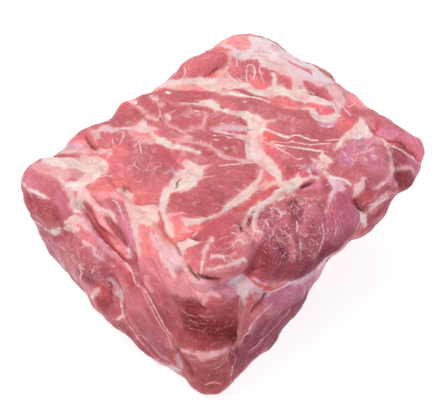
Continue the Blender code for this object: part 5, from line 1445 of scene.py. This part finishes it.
# %% How solid each sinew is
THINNEST, SOLID_GROWS = 0.4, 0.5
HALF_SOLID_AT, SOLID_SOFT = 0.55, 0.35
widest = np.array([half.max() for _, _, _, half in sinews] + [0.0])
sinew_solid = THINNEST + SOLID_GROWS * rise(widest[sinew_owner] - HALF_SOLID_AT, SOLID_SOFT)
print("sinews are solid from", sinew_solid.min().round(2), "to", sinew_solid.max().round(2))

# %% [markdown]
# Where two sinews run side by side, the sign would flip half way between them and draw a line that
# is not there. So the sinews are dealt out to a few layers, each to the layer whose own sinews are
# farthest from it, and every layer has its own pair of fields.

# %% Deal the sinews out to layers, and measure them
LAYERS = 5
# A half width falls off slowly past the end of a sinew, and fast beyond this many mm beside it
NEAR_ENOUGH = 0.8
FALL_BESIDE, FALL_PAST = 1.5, 0.5
NO_SINEW = (3.0, -1.0)


def deal_out(rows, reaches):
    """A list of (half widths, reach) for each layer: a sinew goes where its closest path is farthest."""
    layers = [[] for _ in range(LAYERS)]
    laid = [np.full((1, 3), 1e4) for _ in range(LAYERS)]
    for (_, _, path, half), reach in zip(rows, reaches):
        gaps = [np.linalg.norm(path[::2, None] - places[None], axis=2).min() for places in laid]
        best = int(np.argmax(gaps))
        layers[best].append((half, reach))
        laid[best] = np.vstack([laid[best], path])
    return layers


def thin_fields(rows):
    """Side: the signed distance over the middle line. Half: the half width, which falls off outside."""
    sides, halves = (np.full(len(skin), value) for value in NO_SINEW)
    best = np.full(len(skin), -1e3)
    for half, (who, inside, side, _) in rows:
        better = inside > best[who]
        who, inside, side = who[better], inside[better], side[better]
        best[who] = inside
        away = half.mean() - inside
        past_the_end = np.sqrt(np.maximum(away**2 - side**2, 0.0))
        sides[who] = side
        beside = np.maximum(-inside - NEAR_ENOUGH, 0.0)
        halves[who] = half.mean() - FALL_BESIDE * beside - FALL_PAST * past_the_end
    return sides, np.maximum(halves, NO_SINEW[1]), best


sinew_layers = [thin_fields(rows) for rows in deal_out(sinews, sinew_reach)]
sinew_fields = {}
for number, (sides, halves, best) in enumerate(sinew_layers):
    sinew_fields[f"sinew_side_{number}"] = sides
    sinew_fields[f"sinew_half_{number}"] = halves
    print("layer", number, "points on a sinew:", int((best > 0).sum()))

# %% [markdown]
# Muscle is a bundle of fibres. Each patch of lean gets its own directions, one along its fibres and
# one across, and the skin stores the place along both. A noise that is stretched in these directions
# then runs with the fibres and breaks at the edge of the muscle, as it does in real meat.

# %% Lean tones and fibre directions
# A patch weighs this over its reach, so a small patch wins over a large one that it lies in
SMALL_FIRST = 12.0
LEAN_BASE_WEIGHT, LEAN_MARGIN = 0.03, 2.5
# Each muscle reads its fibres this far from the last one's, so that no two have the same
NEXT_FIBRES = 37.0
EVEN, UNSURE = 0.02, 0.15


def away_from_borders(owner):
    """1 inside one owner's skin, 0 on squares whose corners have different owners, soft between.

    It is 1 minus twice the share of such squares around a point, after they have grown by one."""
    mixed = (owner[squares] != owner[squares[:, :1]]).any(axis=1).astype(float)
    share = np.bincount(squares.ravel(), minlength=len(skin))
    for _ in range(2):
        at_points = np.bincount(squares.ravel(), np.repeat(mixed, 4), len(skin)) / share
        mixed = at_points[squares].max(axis=1)
    return 1.0 - np.minimum(at_points * 2.0, 1.0)


def lean_fields():
    """The lean colour, and for each point its place along and across the fibres of its muscle.

    A patch weighs exp(-2 (distance / reach) squared) times SMALL_FIRST / reach, and the heaviest owns
    the point. Sure is 1 well inside a patch and 0 where two meet: 1 minus second over first weight."""
    total = np.full(len(skin), LEAN_BASE_WEIGHT)
    colour = total[:, None] * linear(BASE_LEAN) * LEAN_BALANCE
    strongest, second = np.zeros(len(skin)), np.zeros(len(skin))
    grain = skin.copy()
    owner = np.full(len(skin), -1)
    for number, (tone, reach, path) in enumerate(lean):
        who = close_to(path, skin, LEAN_MARGIN * reach)
        away = distance_to(path, skin[who])
        weight = np.exp(-2.0 * (away / reach) ** 2) * SMALL_FIRST / reach
        total[who] += weight
        colour[who] += weight[:, None] * linear(tone) * LEAN_BALANCE
        along = path[-1] - path[0]
        along /= np.linalg.norm(along)
        facing = normals[who[np.argmin(away)]]
        beside = np.cross(facing, along)
        beside /= np.linalg.norm(beside)
        mine = weight > strongest[who]
        second[who] = np.where(mine, strongest[who], np.maximum(second[who], weight))
        who = who[mine]
        strongest[who] = weight[mine]
        owner[who] = number
        directions = np.stack([along, beside, np.cross(along, beside)], axis=1)
        grain[who] = skin[who] @ directions + NEXT_FIBRES * number
    sure = 1.0 - (second + EVEN) / (strongest + EVEN)
    return colour / total[:, None], grain, rise(sure - UNSURE, UNSURE) * away_from_borders(owner)


def tangle_field():
    """How much white threads the lean: the most of amount times exp(-(distance / reach) squared)."""
    out = np.full(len(skin), BASE_TANGLE)
    for _, amount, reach, *places in TANGLES:
        path = middle_line(places)
        who = close_to(path, skin, LEAN_MARGIN * reach)
        here = amount * np.exp(-((distance_to(path, skin[who]) / reach) ** 2))
        out[who] = np.maximum(out[who], here)
    return out


lean_colour, grain, grain_sure = lean_fields()
tangle = tangle_field()
print("mean lean colour:", lean_colour.mean(axis=0).round(3))

# %% [markdown]
# ## The mesh
# The skin becomes one mesh object at the origin, with its place in its vertices and its normals
# smooth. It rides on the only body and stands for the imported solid, which MuJoCo keeps for contact.

# %% Build the roast
FLOATS = {
    "fat_depth": fat_depth, "film_depth": film_depth, "crease_depth": crease_depth, "tangle": tangle,
    "grain_sure": grain_sure, "run_sure": away_from_borders(fat_owner), "sinew_solid": sinew_solid,
    **sinew_fields,
}
# The crease colours are painted shade, apart from a few real streaks
VECTORS = {
    "fat_colour": fat_colour, "film_colour": film_colour, "sinew_colour": sinew_colour,
    "lean_colour": lean_colour, "crease_shade_and_streak_colour": crease_shade_and_streak_colour, "grain": grain, "fat_run": fat_run,
}


def skin_mesh(name):
    """A mesh of the squares, with every field as an attribute of its points."""
    mesh = bpy.data.meshes.new(name)
    mesh.from_pydata((skin * METRES).tolist(), [], squares.tolist())
    for label, values in FLOATS.items():
        mesh.attributes.new(label, "FLOAT", "POINT").data.foreach_set("value", values.astype(np.float32))
    for label, values in VECTORS.items():
        field = mesh.attributes.new(label, "FLOAT_VECTOR", "POINT")
        field.data.foreach_set("vector", values.astype(np.float32).ravel())
    mesh.shade_smooth()
    return mesh


roast = bpy.data.objects.new("roast", skin_mesh("roast"))
bpy.context.scene.collection.objects.link(roast)
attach(roast, "root")
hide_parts(NODE)
print("roast:", len(roast.data.vertices), "points,", 2 * len(roast.data.polygons), "triangles")

# %% [markdown]
# ## Small helpers for shader nodes
# A node tree written out by hand is long. A few helpers keep it readable. An input is a number or
# another node's output, which is linked. Most of the nodes are arithmetic, S-curves, mixes, noises
# and readings of the skin's attributes, so each of these has a short helper.

# %% Node helpers
def fill(tree, node, inputs):
    """Set or link the inputs of a node."""
    for socket, value in (inputs or {}).items():
        if isinstance(value, bpy.types.NodeSocket):
            tree.links.new(value, node.inputs[socket])
        else:
            node.inputs[socket].default_value = value
    return node


def add(tree, kind, inputs=None, **options):
    """Add one shader node, set its options, and set or link its inputs."""
    made = tree.nodes.new("ShaderNode" + kind)
    for option, value in options.items():
        setattr(made, option, value)
    return fill(tree, made, inputs)


def calc(tree, operation, a, b=0.0):
    """One step of arithmetic on numbers or outputs."""
    return add(tree, "Math", {0: a, 1: b}, operation=operation).outputs[0]


def times(tree, a, b):
    """The product of two numbers or outputs."""
    return calc(tree, "MULTIPLY", a, b)


def ramp(tree, value, low, high, out_low=0.0, out_high=1.0):
    """An S-curve from out_low to out_high while the value goes from low to high."""
    inputs = {"Value": value, "From Min": low, "From Max": high, "To Min": out_low, "To Max": out_high}
    return add(tree, "MapRange", inputs, interpolation_type="SMOOTHSTEP").outputs["Result"]


def mix_value(tree, share, a, b):
    """Mix two numbers by a share."""
    return add(tree, "Mix", {0: share, 2: a, 3: b}, data_type="FLOAT").outputs[0]


def mix(tree, share, a, b, blend="MIX"):
    """Mix two colours by a share."""
    return add(tree, "Mix", {0: share, 6: a, 7: b}, data_type="RGBA", blend_type=blend).outputs[2]


def field(tree, label, output="Fac"):
    """Read one of the skin's attributes."""
    return add(tree, "Attribute", attribute_name=label).outputs[output]


def noise(tree, place, scale, detail=2.0, rough=0.5):
    """Noise from 0 to 1 at a place; scale is how many lumps fit in one unit."""
    inputs = {"Vector": place, "Scale": scale, "Detail": detail, "Roughness": rough}
    return add(tree, "TexNoise", inputs).outputs["Fac"]


def stretched(tree, place, scale, longer, detail=3.0, rough=0.55):
    """Noise whose lumps are longer along the first direction of the grain than across it."""
    squeeze = add(tree, "VectorMath", {0: place, 1: (1.0 / longer, 1.0, 1.0)}, operation="MULTIPLY")
    return noise(tree, squeeze.outputs[0], scale, detail, rough)


def new_group(name, inputs, outputs):
    """An empty shader node group with named inputs (kind, start value) and outputs (kind)."""
    group = bpy.data.node_groups.new(name, "ShaderNodeTree")
    for label, (kind, start) in inputs.items():
        socket = group.interface.new_socket(label, in_out="INPUT", socket_type="NodeSocket" + kind)
        if start is not None:
            socket.default_value = start
    for label, kind in outputs.items():
        group.interface.new_socket(label, in_out="OUTPUT", socket_type="NodeSocket" + kind)
    return group, group.nodes.new("NodeGroupInput"), group.nodes.new("NodeGroupOutput")


def use(tree, group, inputs=None):
    """Place a group in a tree and set or link its inputs."""
    return add(tree, "Group", inputs, node_tree=group)


# %% [markdown]
# ## Ragged edges
# Fat does not end in a clean line: it feathers out between the fibres. The group adds two noises to
# how deep a point lies inside the seam and then cuts at zero, so the edge wanders by about half a
# millimetre and has small torn bits. Every seam, film and crease uses it with its own numbers.

# %% The ragged edge group
# Lumps in a metre and in a millimetre of grain, and how far each noise pushes the edge
BROAD_LUMPS, BROAD_PUSH = 150.0, 4.5
FEATHERS, FEATHER_LENGTH, FEATHER_PUSH = 0.9, 5.0, 3.0
ragged, enter, leave = new_group(
    "ragged_edge",
    {"Depth": ("Float", 0.0), "Place": ("Vector", None), "Grain": ("Vector", None),
     "Wander": ("Float", 0.6), "Soft": ("Float", 0.25), "Sure": ("Float", 1.0)},
    {"Mask": "Float"},
)
given = enter.outputs
broad = calc(ragged, "SUBTRACT", noise(ragged, given["Place"], BROAD_LUMPS, 3.0, 0.6), 0.5)
feathers = calc(ragged, "SUBTRACT", stretched(ragged, given["Grain"], FEATHERS, FEATHER_LENGTH), 0.5)
feathers = times(ragged, feathers, given["Sure"])
push = calc(ragged, "ADD", times(ragged, broad, BROAD_PUSH), times(ragged, feathers, FEATHER_PUSH))
pushed = calc(ragged, "ADD", given["Depth"], times(ragged, push, given["Wander"]))
edge = calc(ragged, "DIVIDE", pushed, given["Soft"])
ragged.links.new(ramp(ragged, edge, -1.0, 1.0), leave.inputs["Mask"])
print("nodes in the ragged edge:", len(ragged.nodes))

# %% [markdown]
# ## Fibres
# The fibres are noise stretched along the grain: fourteen times longer than wide for the fine ones,
# and seven times for a coarser set, the bundles. The group gives one value for colour and one for
# height.

# %% The fibre group
FINE_LENGTH, COARSE_LENGTH, STREAK_SPAN = 14.0, 7.0, (0.36, 0.64)
fibres, enter, leave = new_group(
    "fibres",
    {"Grain": ("Vector", None), "Fine": ("Float", 1.3), "Coarse": ("Float", 0.45)},
    {"Streaks": "Float", "Height": "Float"},
)
given = enter.outputs
fine_fibres = stretched(fibres, given["Grain"], given["Fine"], FINE_LENGTH)
coarse_fibres = stretched(fibres, given["Grain"], given["Coarse"], COARSE_LENGTH)
both = calc(fibres, "ADD", times(fibres, fine_fibres, 0.5), times(fibres, coarse_fibres, 0.5))
fibres.links.new(ramp(fibres, both, *STREAK_SPAN), leave.inputs["Streaks"])
fibres.links.new(both, leave.inputs["Height"])
print("nodes in the fibres:", len(fibres.nodes))

# %% [markdown]
# ## Marbling
# Between the big seams run hair-thin threads of fat, and small pale flecks, which are partly grains of
# fat and partly painted glints of the wet surface. A noise has thin curved lines where it passes its
# middle value. Keeping only those lines, and only where a second, broad noise is high, gives threads
# that come and go.

# %% The marbling group
def hairlines(tree, value, lines, width):
    """Thin lines where a smooth value passes each step of 1 / lines: the contours of a map."""
    off_line = calc(tree, "PINGPONG", times(tree, value, lines), 0.5)
    return ramp(tree, off_line, width * 0.3, width, 1.0, 0.0)


# Lumps in a metre of the noises that carry the curls, say where threads are, and scatter the flecks,
# which are partly painted glints
CURL_LUMPS, HERE_LUMPS, THERE_LUMPS, FLECK_AND_GLINT_LUMPS = 230.0, 300.0, 210.0, 760.0
CURL_LINES, CURL_WIDTH = 4.0, 0.13
STRAIGHT_LUMPS, STRAIGHT_LENGTH, STRAIGHT_LINES, STRAIGHT_WIDTH = 0.16, 4.0, 5.0, 0.10
# From which noise value each begins to show, and where it shows fully
HERE_SPAN, THERE_SPAN, FLECK_AND_GLINT_SPAN = (0.45, 0.60), (0.44, 0.64), (0.62, 0.80)
marbling, enter, leave = new_group(
    "marbling",
    {"Grain": ("Vector", None), "Place": ("Vector", None), "Amount": ("Float", 0.5)},
    {"Threads": "Float", "Flecks and glints": "Float"},
)
given = enter.outputs
long_noise = stretched(marbling, given["Grain"], STRAIGHT_LUMPS, STRAIGHT_LENGTH)
curly = hairlines(marbling, noise(marbling, given["Place"], CURL_LUMPS, 1.5), CURL_LINES, CURL_WIDTH)
straight = hairlines(marbling, long_noise, STRAIGHT_LINES, STRAIGHT_WIDTH)
here = ramp(marbling, noise(marbling, given["Place"], HERE_LUMPS, 1.0), *HERE_SPAN)
there = ramp(marbling, noise(marbling, given["Place"], THERE_LUMPS, 1.0), *THERE_SPAN)
threads = calc(marbling, "MAXIMUM", times(marbling, curly, here), times(marbling, straight, there))
marbling.links.new(times(marbling, threads, given["Amount"]), leave.inputs["Threads"])
# Flecks: partly grains of fat, partly painted glints of the wet surface
flecks_and_glints = ramp(marbling, noise(marbling, given["Place"], FLECK_AND_GLINT_LUMPS, 1.0), *FLECK_AND_GLINT_SPAN)
marbling.links.new(times(marbling, flecks_and_glints, given["Amount"]), leave.inputs["Flecks and glints"])
print("nodes in the marbling:", len(marbling.nodes))

# %% [markdown]
# ## The meat
# One material carries everything, because lean, fat and film are one continuous skin. It is laid from
# the bottom up: lean, films, fat seams, sinews, and the painted shade of the creases. The lean comes
# first. Its tone changes with a cloudy noise, with the fibres and with fine pores, and threads of
# marbling and small flecks, partly painted glints, run through it.

# %% The lean
CLOUD_DARK, CLOUD_LIGHT = (0.90, 0.85, 0.86, 1.0), (1.06, 1.12, 1.11, 1.0)
STREAK_DARK, STREAK_LIGHT = (0.90, 0.82, 0.84, 1.0), (1.08, 1.18, 1.16, 1.0)
PORE_DARK, PORE_LIGHT = (0.94, 0.89, 0.90, 1.0), (1.05, 1.12, 1.11, 1.0)
THREAD_TONE = (*linear("pink fat"), 1.0)
THREADS_SHOW, FLECKS_AND_GLINTS_SHOW = 0.5, 0.55
CLOUD_LUMPS, CLOUD_SPAN, PORE_LUMPS, PORE_SPAN = 70.0, (0.3, 0.7), 700.0, (0.35, 0.65)

meat = bpy.data.materials.new("raw_meat")
meat.use_nodes = True
tree = meat.node_tree
shader = tree.nodes["Principled BSDF"]
place = add(tree, "TexCoord").outputs["Object"]
grain_place = field(tree, "grain", "Vector")
grain_sure = field(tree, "grain_sure")
fibre = use(tree, fibres, {"Grain": grain_place, "Fine": 0.8, "Coarse": 0.33})
cloud = noise(tree, place, CLOUD_LUMPS, 3.0, 0.55)
pores = noise(tree, place, PORE_LUMPS, 2.0)


def tinted(colour, share, dark, light):
    """The colour times a tint that goes from dark to light with the share."""
    return mix(tree, 1.0, colour, mix(tree, share, dark, light), "MULTIPLY")


lean_colour_here = field(tree, "lean_colour", "Color")
lean_tone = tinted(lean_colour_here, ramp(tree, cloud, *CLOUD_SPAN), CLOUD_DARK, CLOUD_LIGHT)
streaks = mix_value(tree, grain_sure, 0.5, fibre.outputs["Streaks"])
lean_tone = tinted(lean_tone, streaks, STREAK_DARK, STREAK_LIGHT)
lean_tone = tinted(lean_tone, ramp(tree, pores, *PORE_SPAN), PORE_DARK, PORE_LIGHT)
marble = use(tree, marbling, {"Grain": grain_place, "Place": place, "Amount": field(tree, "tangle")})
lean_tone = mix(tree, times(tree, marble.outputs["Threads"], THREADS_SHOW), lean_tone, THREAD_TONE)
# The flecks lighten the lean: partly grains of fat, partly painted glints
lean_tone = mix(tree, times(tree, marble.outputs["Flecks and glints"], FLECKS_AND_GLINTS_SHOW), lean_tone, THREAD_TONE)
print("nodes for the lean:", len(tree.nodes))

# %% [markdown]
# A mask says where a film, the fat or a crease is: the ragged edge of its depth field. Films stay
# see-through. Fat gets two masks, its own and a wider, fainter one, the salmon halo that real fat has
# where it thins out over the lean. A noise also thins the fat itself in places.

# %% Masks of films, fat and creases
FILM_SHOWS, HALO_SHOWS, HALO_WIDTH, THIN_FAT_LUMPS = 0.62, 0.42, 0.8, 110.0
# How far each edge wanders, and how soft it is, in mm
FILM_EDGE, HALO_EDGE, FAT_EDGE, CREASE_EDGE = (1.1, 2.0), (1.2, 2.0), (1.0, 0.8), (0.5, 0.7)
# The noise that thins the fat: from which value to which, and how much fat stays there
THIN_FAT = (0.31, 0.56, 0.5, 0.97)
fat_place = field(tree, "fat_run", "Vector")
run_sure = field(tree, "run_sure")
fat_in = field(tree, "fat_depth")


def mask_of(depth, wander, soft, grain=grain_place, sure=grain_sure):
    """The ragged mask of one of the skin's depth fields."""
    inputs = {"Depth": depth, "Place": place, "Grain": grain, "Wander": wander, "Soft": soft, "Sure": sure}
    return use(tree, ragged, inputs).outputs["Mask"]


film_mask = times(tree, mask_of(field(tree, "film_depth"), *FILM_EDGE), FILM_SHOWS)
halo_in = calc(tree, "ADD", fat_in, HALO_WIDTH)
halo_mask = times(tree, mask_of(halo_in, *HALO_EDGE, fat_place, run_sure), HALO_SHOWS)
thin_fat = ramp(tree, noise(tree, place, THIN_FAT_LUMPS, 3.0, 0.6), *THIN_FAT)
fat_mask = times(tree, mask_of(fat_in, *FAT_EDGE, fat_place, run_sure), thin_fat)
crease_mask = mask_of(field(tree, "crease_depth"), *CREASE_EDGE)
print("nodes with the masks:", len(tree.nodes))

# %% [markdown]
# A thin sinew is narrower than a cell, so no depth field can hold it. The distance from its middle
# line, with its sign, is smooth over the cells, and the half width minus that distance is above zero
# only on the sinew. The largest over all layers is what counts, and a noise breaks the line up.

# %% The mask of the sinews
SINEW_THINNER, SINEW_EDGE = 0.05, (0.22, 0.4)
BREAK_LUMPS, BREAKS = 260.0, (0.34, 0.62, 0.3, 1.0)
sinew_edge = -1.0
for number in range(LAYERS):
    off_middle = calc(tree, "ABSOLUTE", field(tree, f"sinew_side_{number}"))
    on_sinew = calc(tree, "SUBTRACT", field(tree, f"sinew_half_{number}"), off_middle)
    sinew_edge = calc(tree, "MAXIMUM", sinew_edge, on_sinew)
sinew_mask = mask_of(calc(tree, "SUBTRACT", sinew_edge, SINEW_THINNER), *SINEW_EDGE)
broken = ramp(tree, noise(tree, place, BREAK_LUMPS), *BREAKS)
sinew_mask = times(tree, times(tree, sinew_mask, broken), field(tree, "sinew_solid"))
print("nodes with the sinews:", len(tree.nodes))

# %% [markdown]
# Now the layers go over each other, each with its mask. Fat has faint streaks along its seam, from a
# warm blush to nearly white.

# %% Lay the colours over each other
HALO_TONE = (*linear("salmon fat"), 1.0)
FAT_BLUSH, FAT_GLEAM = (0.84, 0.69, 0.68, 1.0), (0.87, 0.94, 0.96, 1.0)
CREASE_SHADE_SHOWS = 0.9
FAT_LUMPS, FAT_STREAK_LENGTH, FAT_SPAN = 0.5, 6.0, (0.32, 0.62)
fat_streaks = stretched(tree, fat_place, FAT_LUMPS, FAT_STREAK_LENGTH)
fat_streaks = mix_value(tree, run_sure, 0.5, fat_streaks)
fat_tone = field(tree, "fat_colour", "Color")
fat_tone = tinted(fat_tone, ramp(tree, fat_streaks, *FAT_SPAN), FAT_BLUSH, FAT_GLEAM)
colour = mix(tree, film_mask, lean_tone, field(tree, "film_colour", "Color"))
colour = mix(tree, halo_mask, colour, HALO_TONE)
colour = mix(tree, fat_mask, colour, fat_tone)
colour = mix(tree, sinew_mask, colour, field(tree, "sinew_colour", "Color"))
# Painted shade: the creases lay their dark over the colour where shade falls into them
crease_shade_shows = times(tree, crease_mask, CREASE_SHADE_SHOWS)
colour = mix(tree, crease_shade_shows, colour, field(tree, "crease_shade_and_streak_colour", "Color"))
tree.links.new(colour, shader.inputs["Base Color"])
print("nodes with the colours:", len(tree.nodes))

# %% [markdown]
# The shine of wet meat is a thin coat over a duller base. Its weight changes with a noise, so the
# light breaks up into small spots, and the deep red places, which lie in hollows, stay duller. A
# little light also goes in and comes out again, which takes the hardness from the shadows.

# %% The wet shine
WET_LUMPS, WET_SPAN = 120.0, (0.35, 0.7)
# The brightness of lean in a hollow and in the open, and what is left of the wetness in a hollow
IN_HOLLOW, IN_OPEN, HOLLOW_WET = 0.05, 0.20, 0.25
HOLLOW_ROUGH, DRY_ROUGH, WET_ROUGH = 0.9, 0.55, 0.38
DRY_COAT, WET_COAT = 0.04, 0.6
wet = ramp(tree, noise(tree, place, WET_LUMPS), *WET_SPAN)
wet = times(tree, wet, calc(tree, "SUBTRACT", 1.0, crease_mask))
brightness = add(tree, "RGBToBW", {"Color": lean_colour_here}).outputs[0]
open_to_light = ramp(tree, brightness, IN_HOLLOW, IN_OPEN)
wet = times(tree, wet, ramp(tree, open_to_light, 0.0, 1.0, HOLLOW_WET, 1.0))
rough = ramp(tree, wet, 0.0, 1.0, DRY_ROUGH, WET_ROUGH)
fill(tree, shader, {
    "Roughness": mix_value(tree, open_to_light, HOLLOW_ROUGH, rough),
    "Coat Weight": ramp(tree, wet, 0.0, 1.0, DRY_COAT, WET_COAT),
    "Coat Roughness": 0.14, "Coat IOR": 1.36, "IOR": 1.30,
    "Subsurface Weight": 0.04, "Subsurface Radius": (0.0036, 0.0014, 0.0011), "Subsurface Scale": 1.0,
})
print("nodes with the shine:", len(tree.nodes))

# %% [markdown]
# What is finer than the skin's cells is bump: fibres on the lean, fine grains everywhere, and a small
# step up onto fat and sinews. All heights are summed first, so there is one bump node.

# %% Bump
FIBRES_RISE, LEVEL, PORES_RISE, GRAINS_RISE = 2.2, 1.1, 0.7, 1.5
GRAIN_LUMPS, THREADS_RISE, SEAMS_RISE = 260.0, 0.4, 0.5
lean_share = calc(tree, "SUBTRACT", 1.0, calc(tree, "MAXIMUM", fat_mask, film_mask))
fibre_height = times(tree, fibre.outputs["Height"], FIBRES_RISE)
height = mix_value(tree, times(tree, grain_sure, lean_share), LEVEL, fibre_height)
rising = (
    (pores, PORES_RISE),
    (noise(tree, place, GRAIN_LUMPS, 3.0), GRAINS_RISE),
    (marble.outputs["Threads"], THREADS_RISE),
    (calc(tree, "MAXIMUM", sinew_mask, fat_mask), SEAMS_RISE),
)
for layer, rises in rising:
    height = calc(tree, "ADD", height, times(tree, layer, rises))
bump = add(tree, "Bump", {"Height": height, "Distance": 0.0007, "Strength": 0.8})
tree.links.new(bump.outputs["Normal"], shader.inputs["Normal"])
roast.data.materials.append(meat)
print("nodes in the meat material:", len(tree.nodes))

# %% [markdown]
# ## The floor and the light
# The roast lies on a plain pale floor. It glows a little, so that it stays nearly white under the
# soft light, as in a product photograph.

# %% The floor
FLOOR_HALF, FLOOR_GREY, FLOOR_GLOW = 3.0, 0.35, 0.8
corners = [(x * FLOOR_HALF, y * FLOOR_HALF, 0) for x, y in ((-1, -1), (1, -1), (1, 1), (-1, 1))]
floor_mesh = bpy.data.meshes.new("floor")
floor_mesh.from_pydata(corners, [], [(0, 1, 2, 3)])
floor = bpy.data.objects.new("floor", floor_mesh)
floor_paint = bpy.data.materials.new("pale_floor")
floor_paint.use_nodes = True
fill(floor_paint.node_tree, floor_paint.node_tree.nodes["Principled BSDF"], {
    "Base Color": (FLOOR_GREY, FLOOR_GREY, FLOOR_GREY, 1.0), "Roughness": 0.9,
    "Emission Color": (1.0, 1.0, 1.0, 1.0), "Emission Strength": FLOOR_GLOW,
})
floor_mesh.materials.append(floor_paint)
bpy.context.scene.collection.objects.link(floor)
print("floor:", 2 * FLOOR_HALF, "m wide")

# %% [markdown]
# A bright, even sky, a trace bluer than white, does most of the lighting. A large warm key lamp from
# the upper left makes the top the brightest side. A faint fill opens the near side, a cool lamp from
# the right gives the shaded faces their violet, and a small lamp behind the roast puts the gleam on
# the wet spots. The plain view transform shows the tones as they are.

# %% Sky and lamps
SKY, SKY_TINT = 0.55, (0.96, 0.97, 1.0, 1.0)
sky = bpy.data.worlds.new("soft_sky")
sky.use_nodes = True
fill(sky.node_tree, sky.node_tree.nodes["Background"], {"Color": SKY_TINT, "Strength": SKY})
bpy.context.scene.world = sky
bpy.context.scene.view_settings.view_transform = "Standard"

LOOK_AT = (0, 0, 0.05)
# Name, place in metres, size in metres, power in watts, tint
LAMPS = (
    ("key", (-0.55, 0.25, 1.35), 0.7, 11.0, (1.0, 0.975, 0.90)),
    ("fill", (-0.9, -1.0, 0.7), 0.9, 2.0, (0.90, 0.93, 1.0)),
    ("cool", (0.95, -0.95, 0.55), 0.8, 2.6, (0.62, 0.70, 1.0)),
    ("sheen", (0.55, 0.62, 0.95), 0.3, 2.2, (1.0, 1.0, 1.0)),
)


def lamp(name, place, size, power, tint):
    """A square area lamp at a place, looking at the roast."""
    data = bpy.data.lights.new(name, "AREA")
    data.size = size
    data.energy = power
    data.color = tint
    made = bpy.data.objects.new(name, data)
    made.location = place
    made.rotation_euler = (Vector(LOOK_AT) - Vector(place)).to_track_quat("-Z", "Y").to_euler()
    bpy.context.scene.collection.objects.link(made)


for row in LAMPS:
    lamp(*row)
print("lamps:", len(LAMPS), "sky:", SKY)
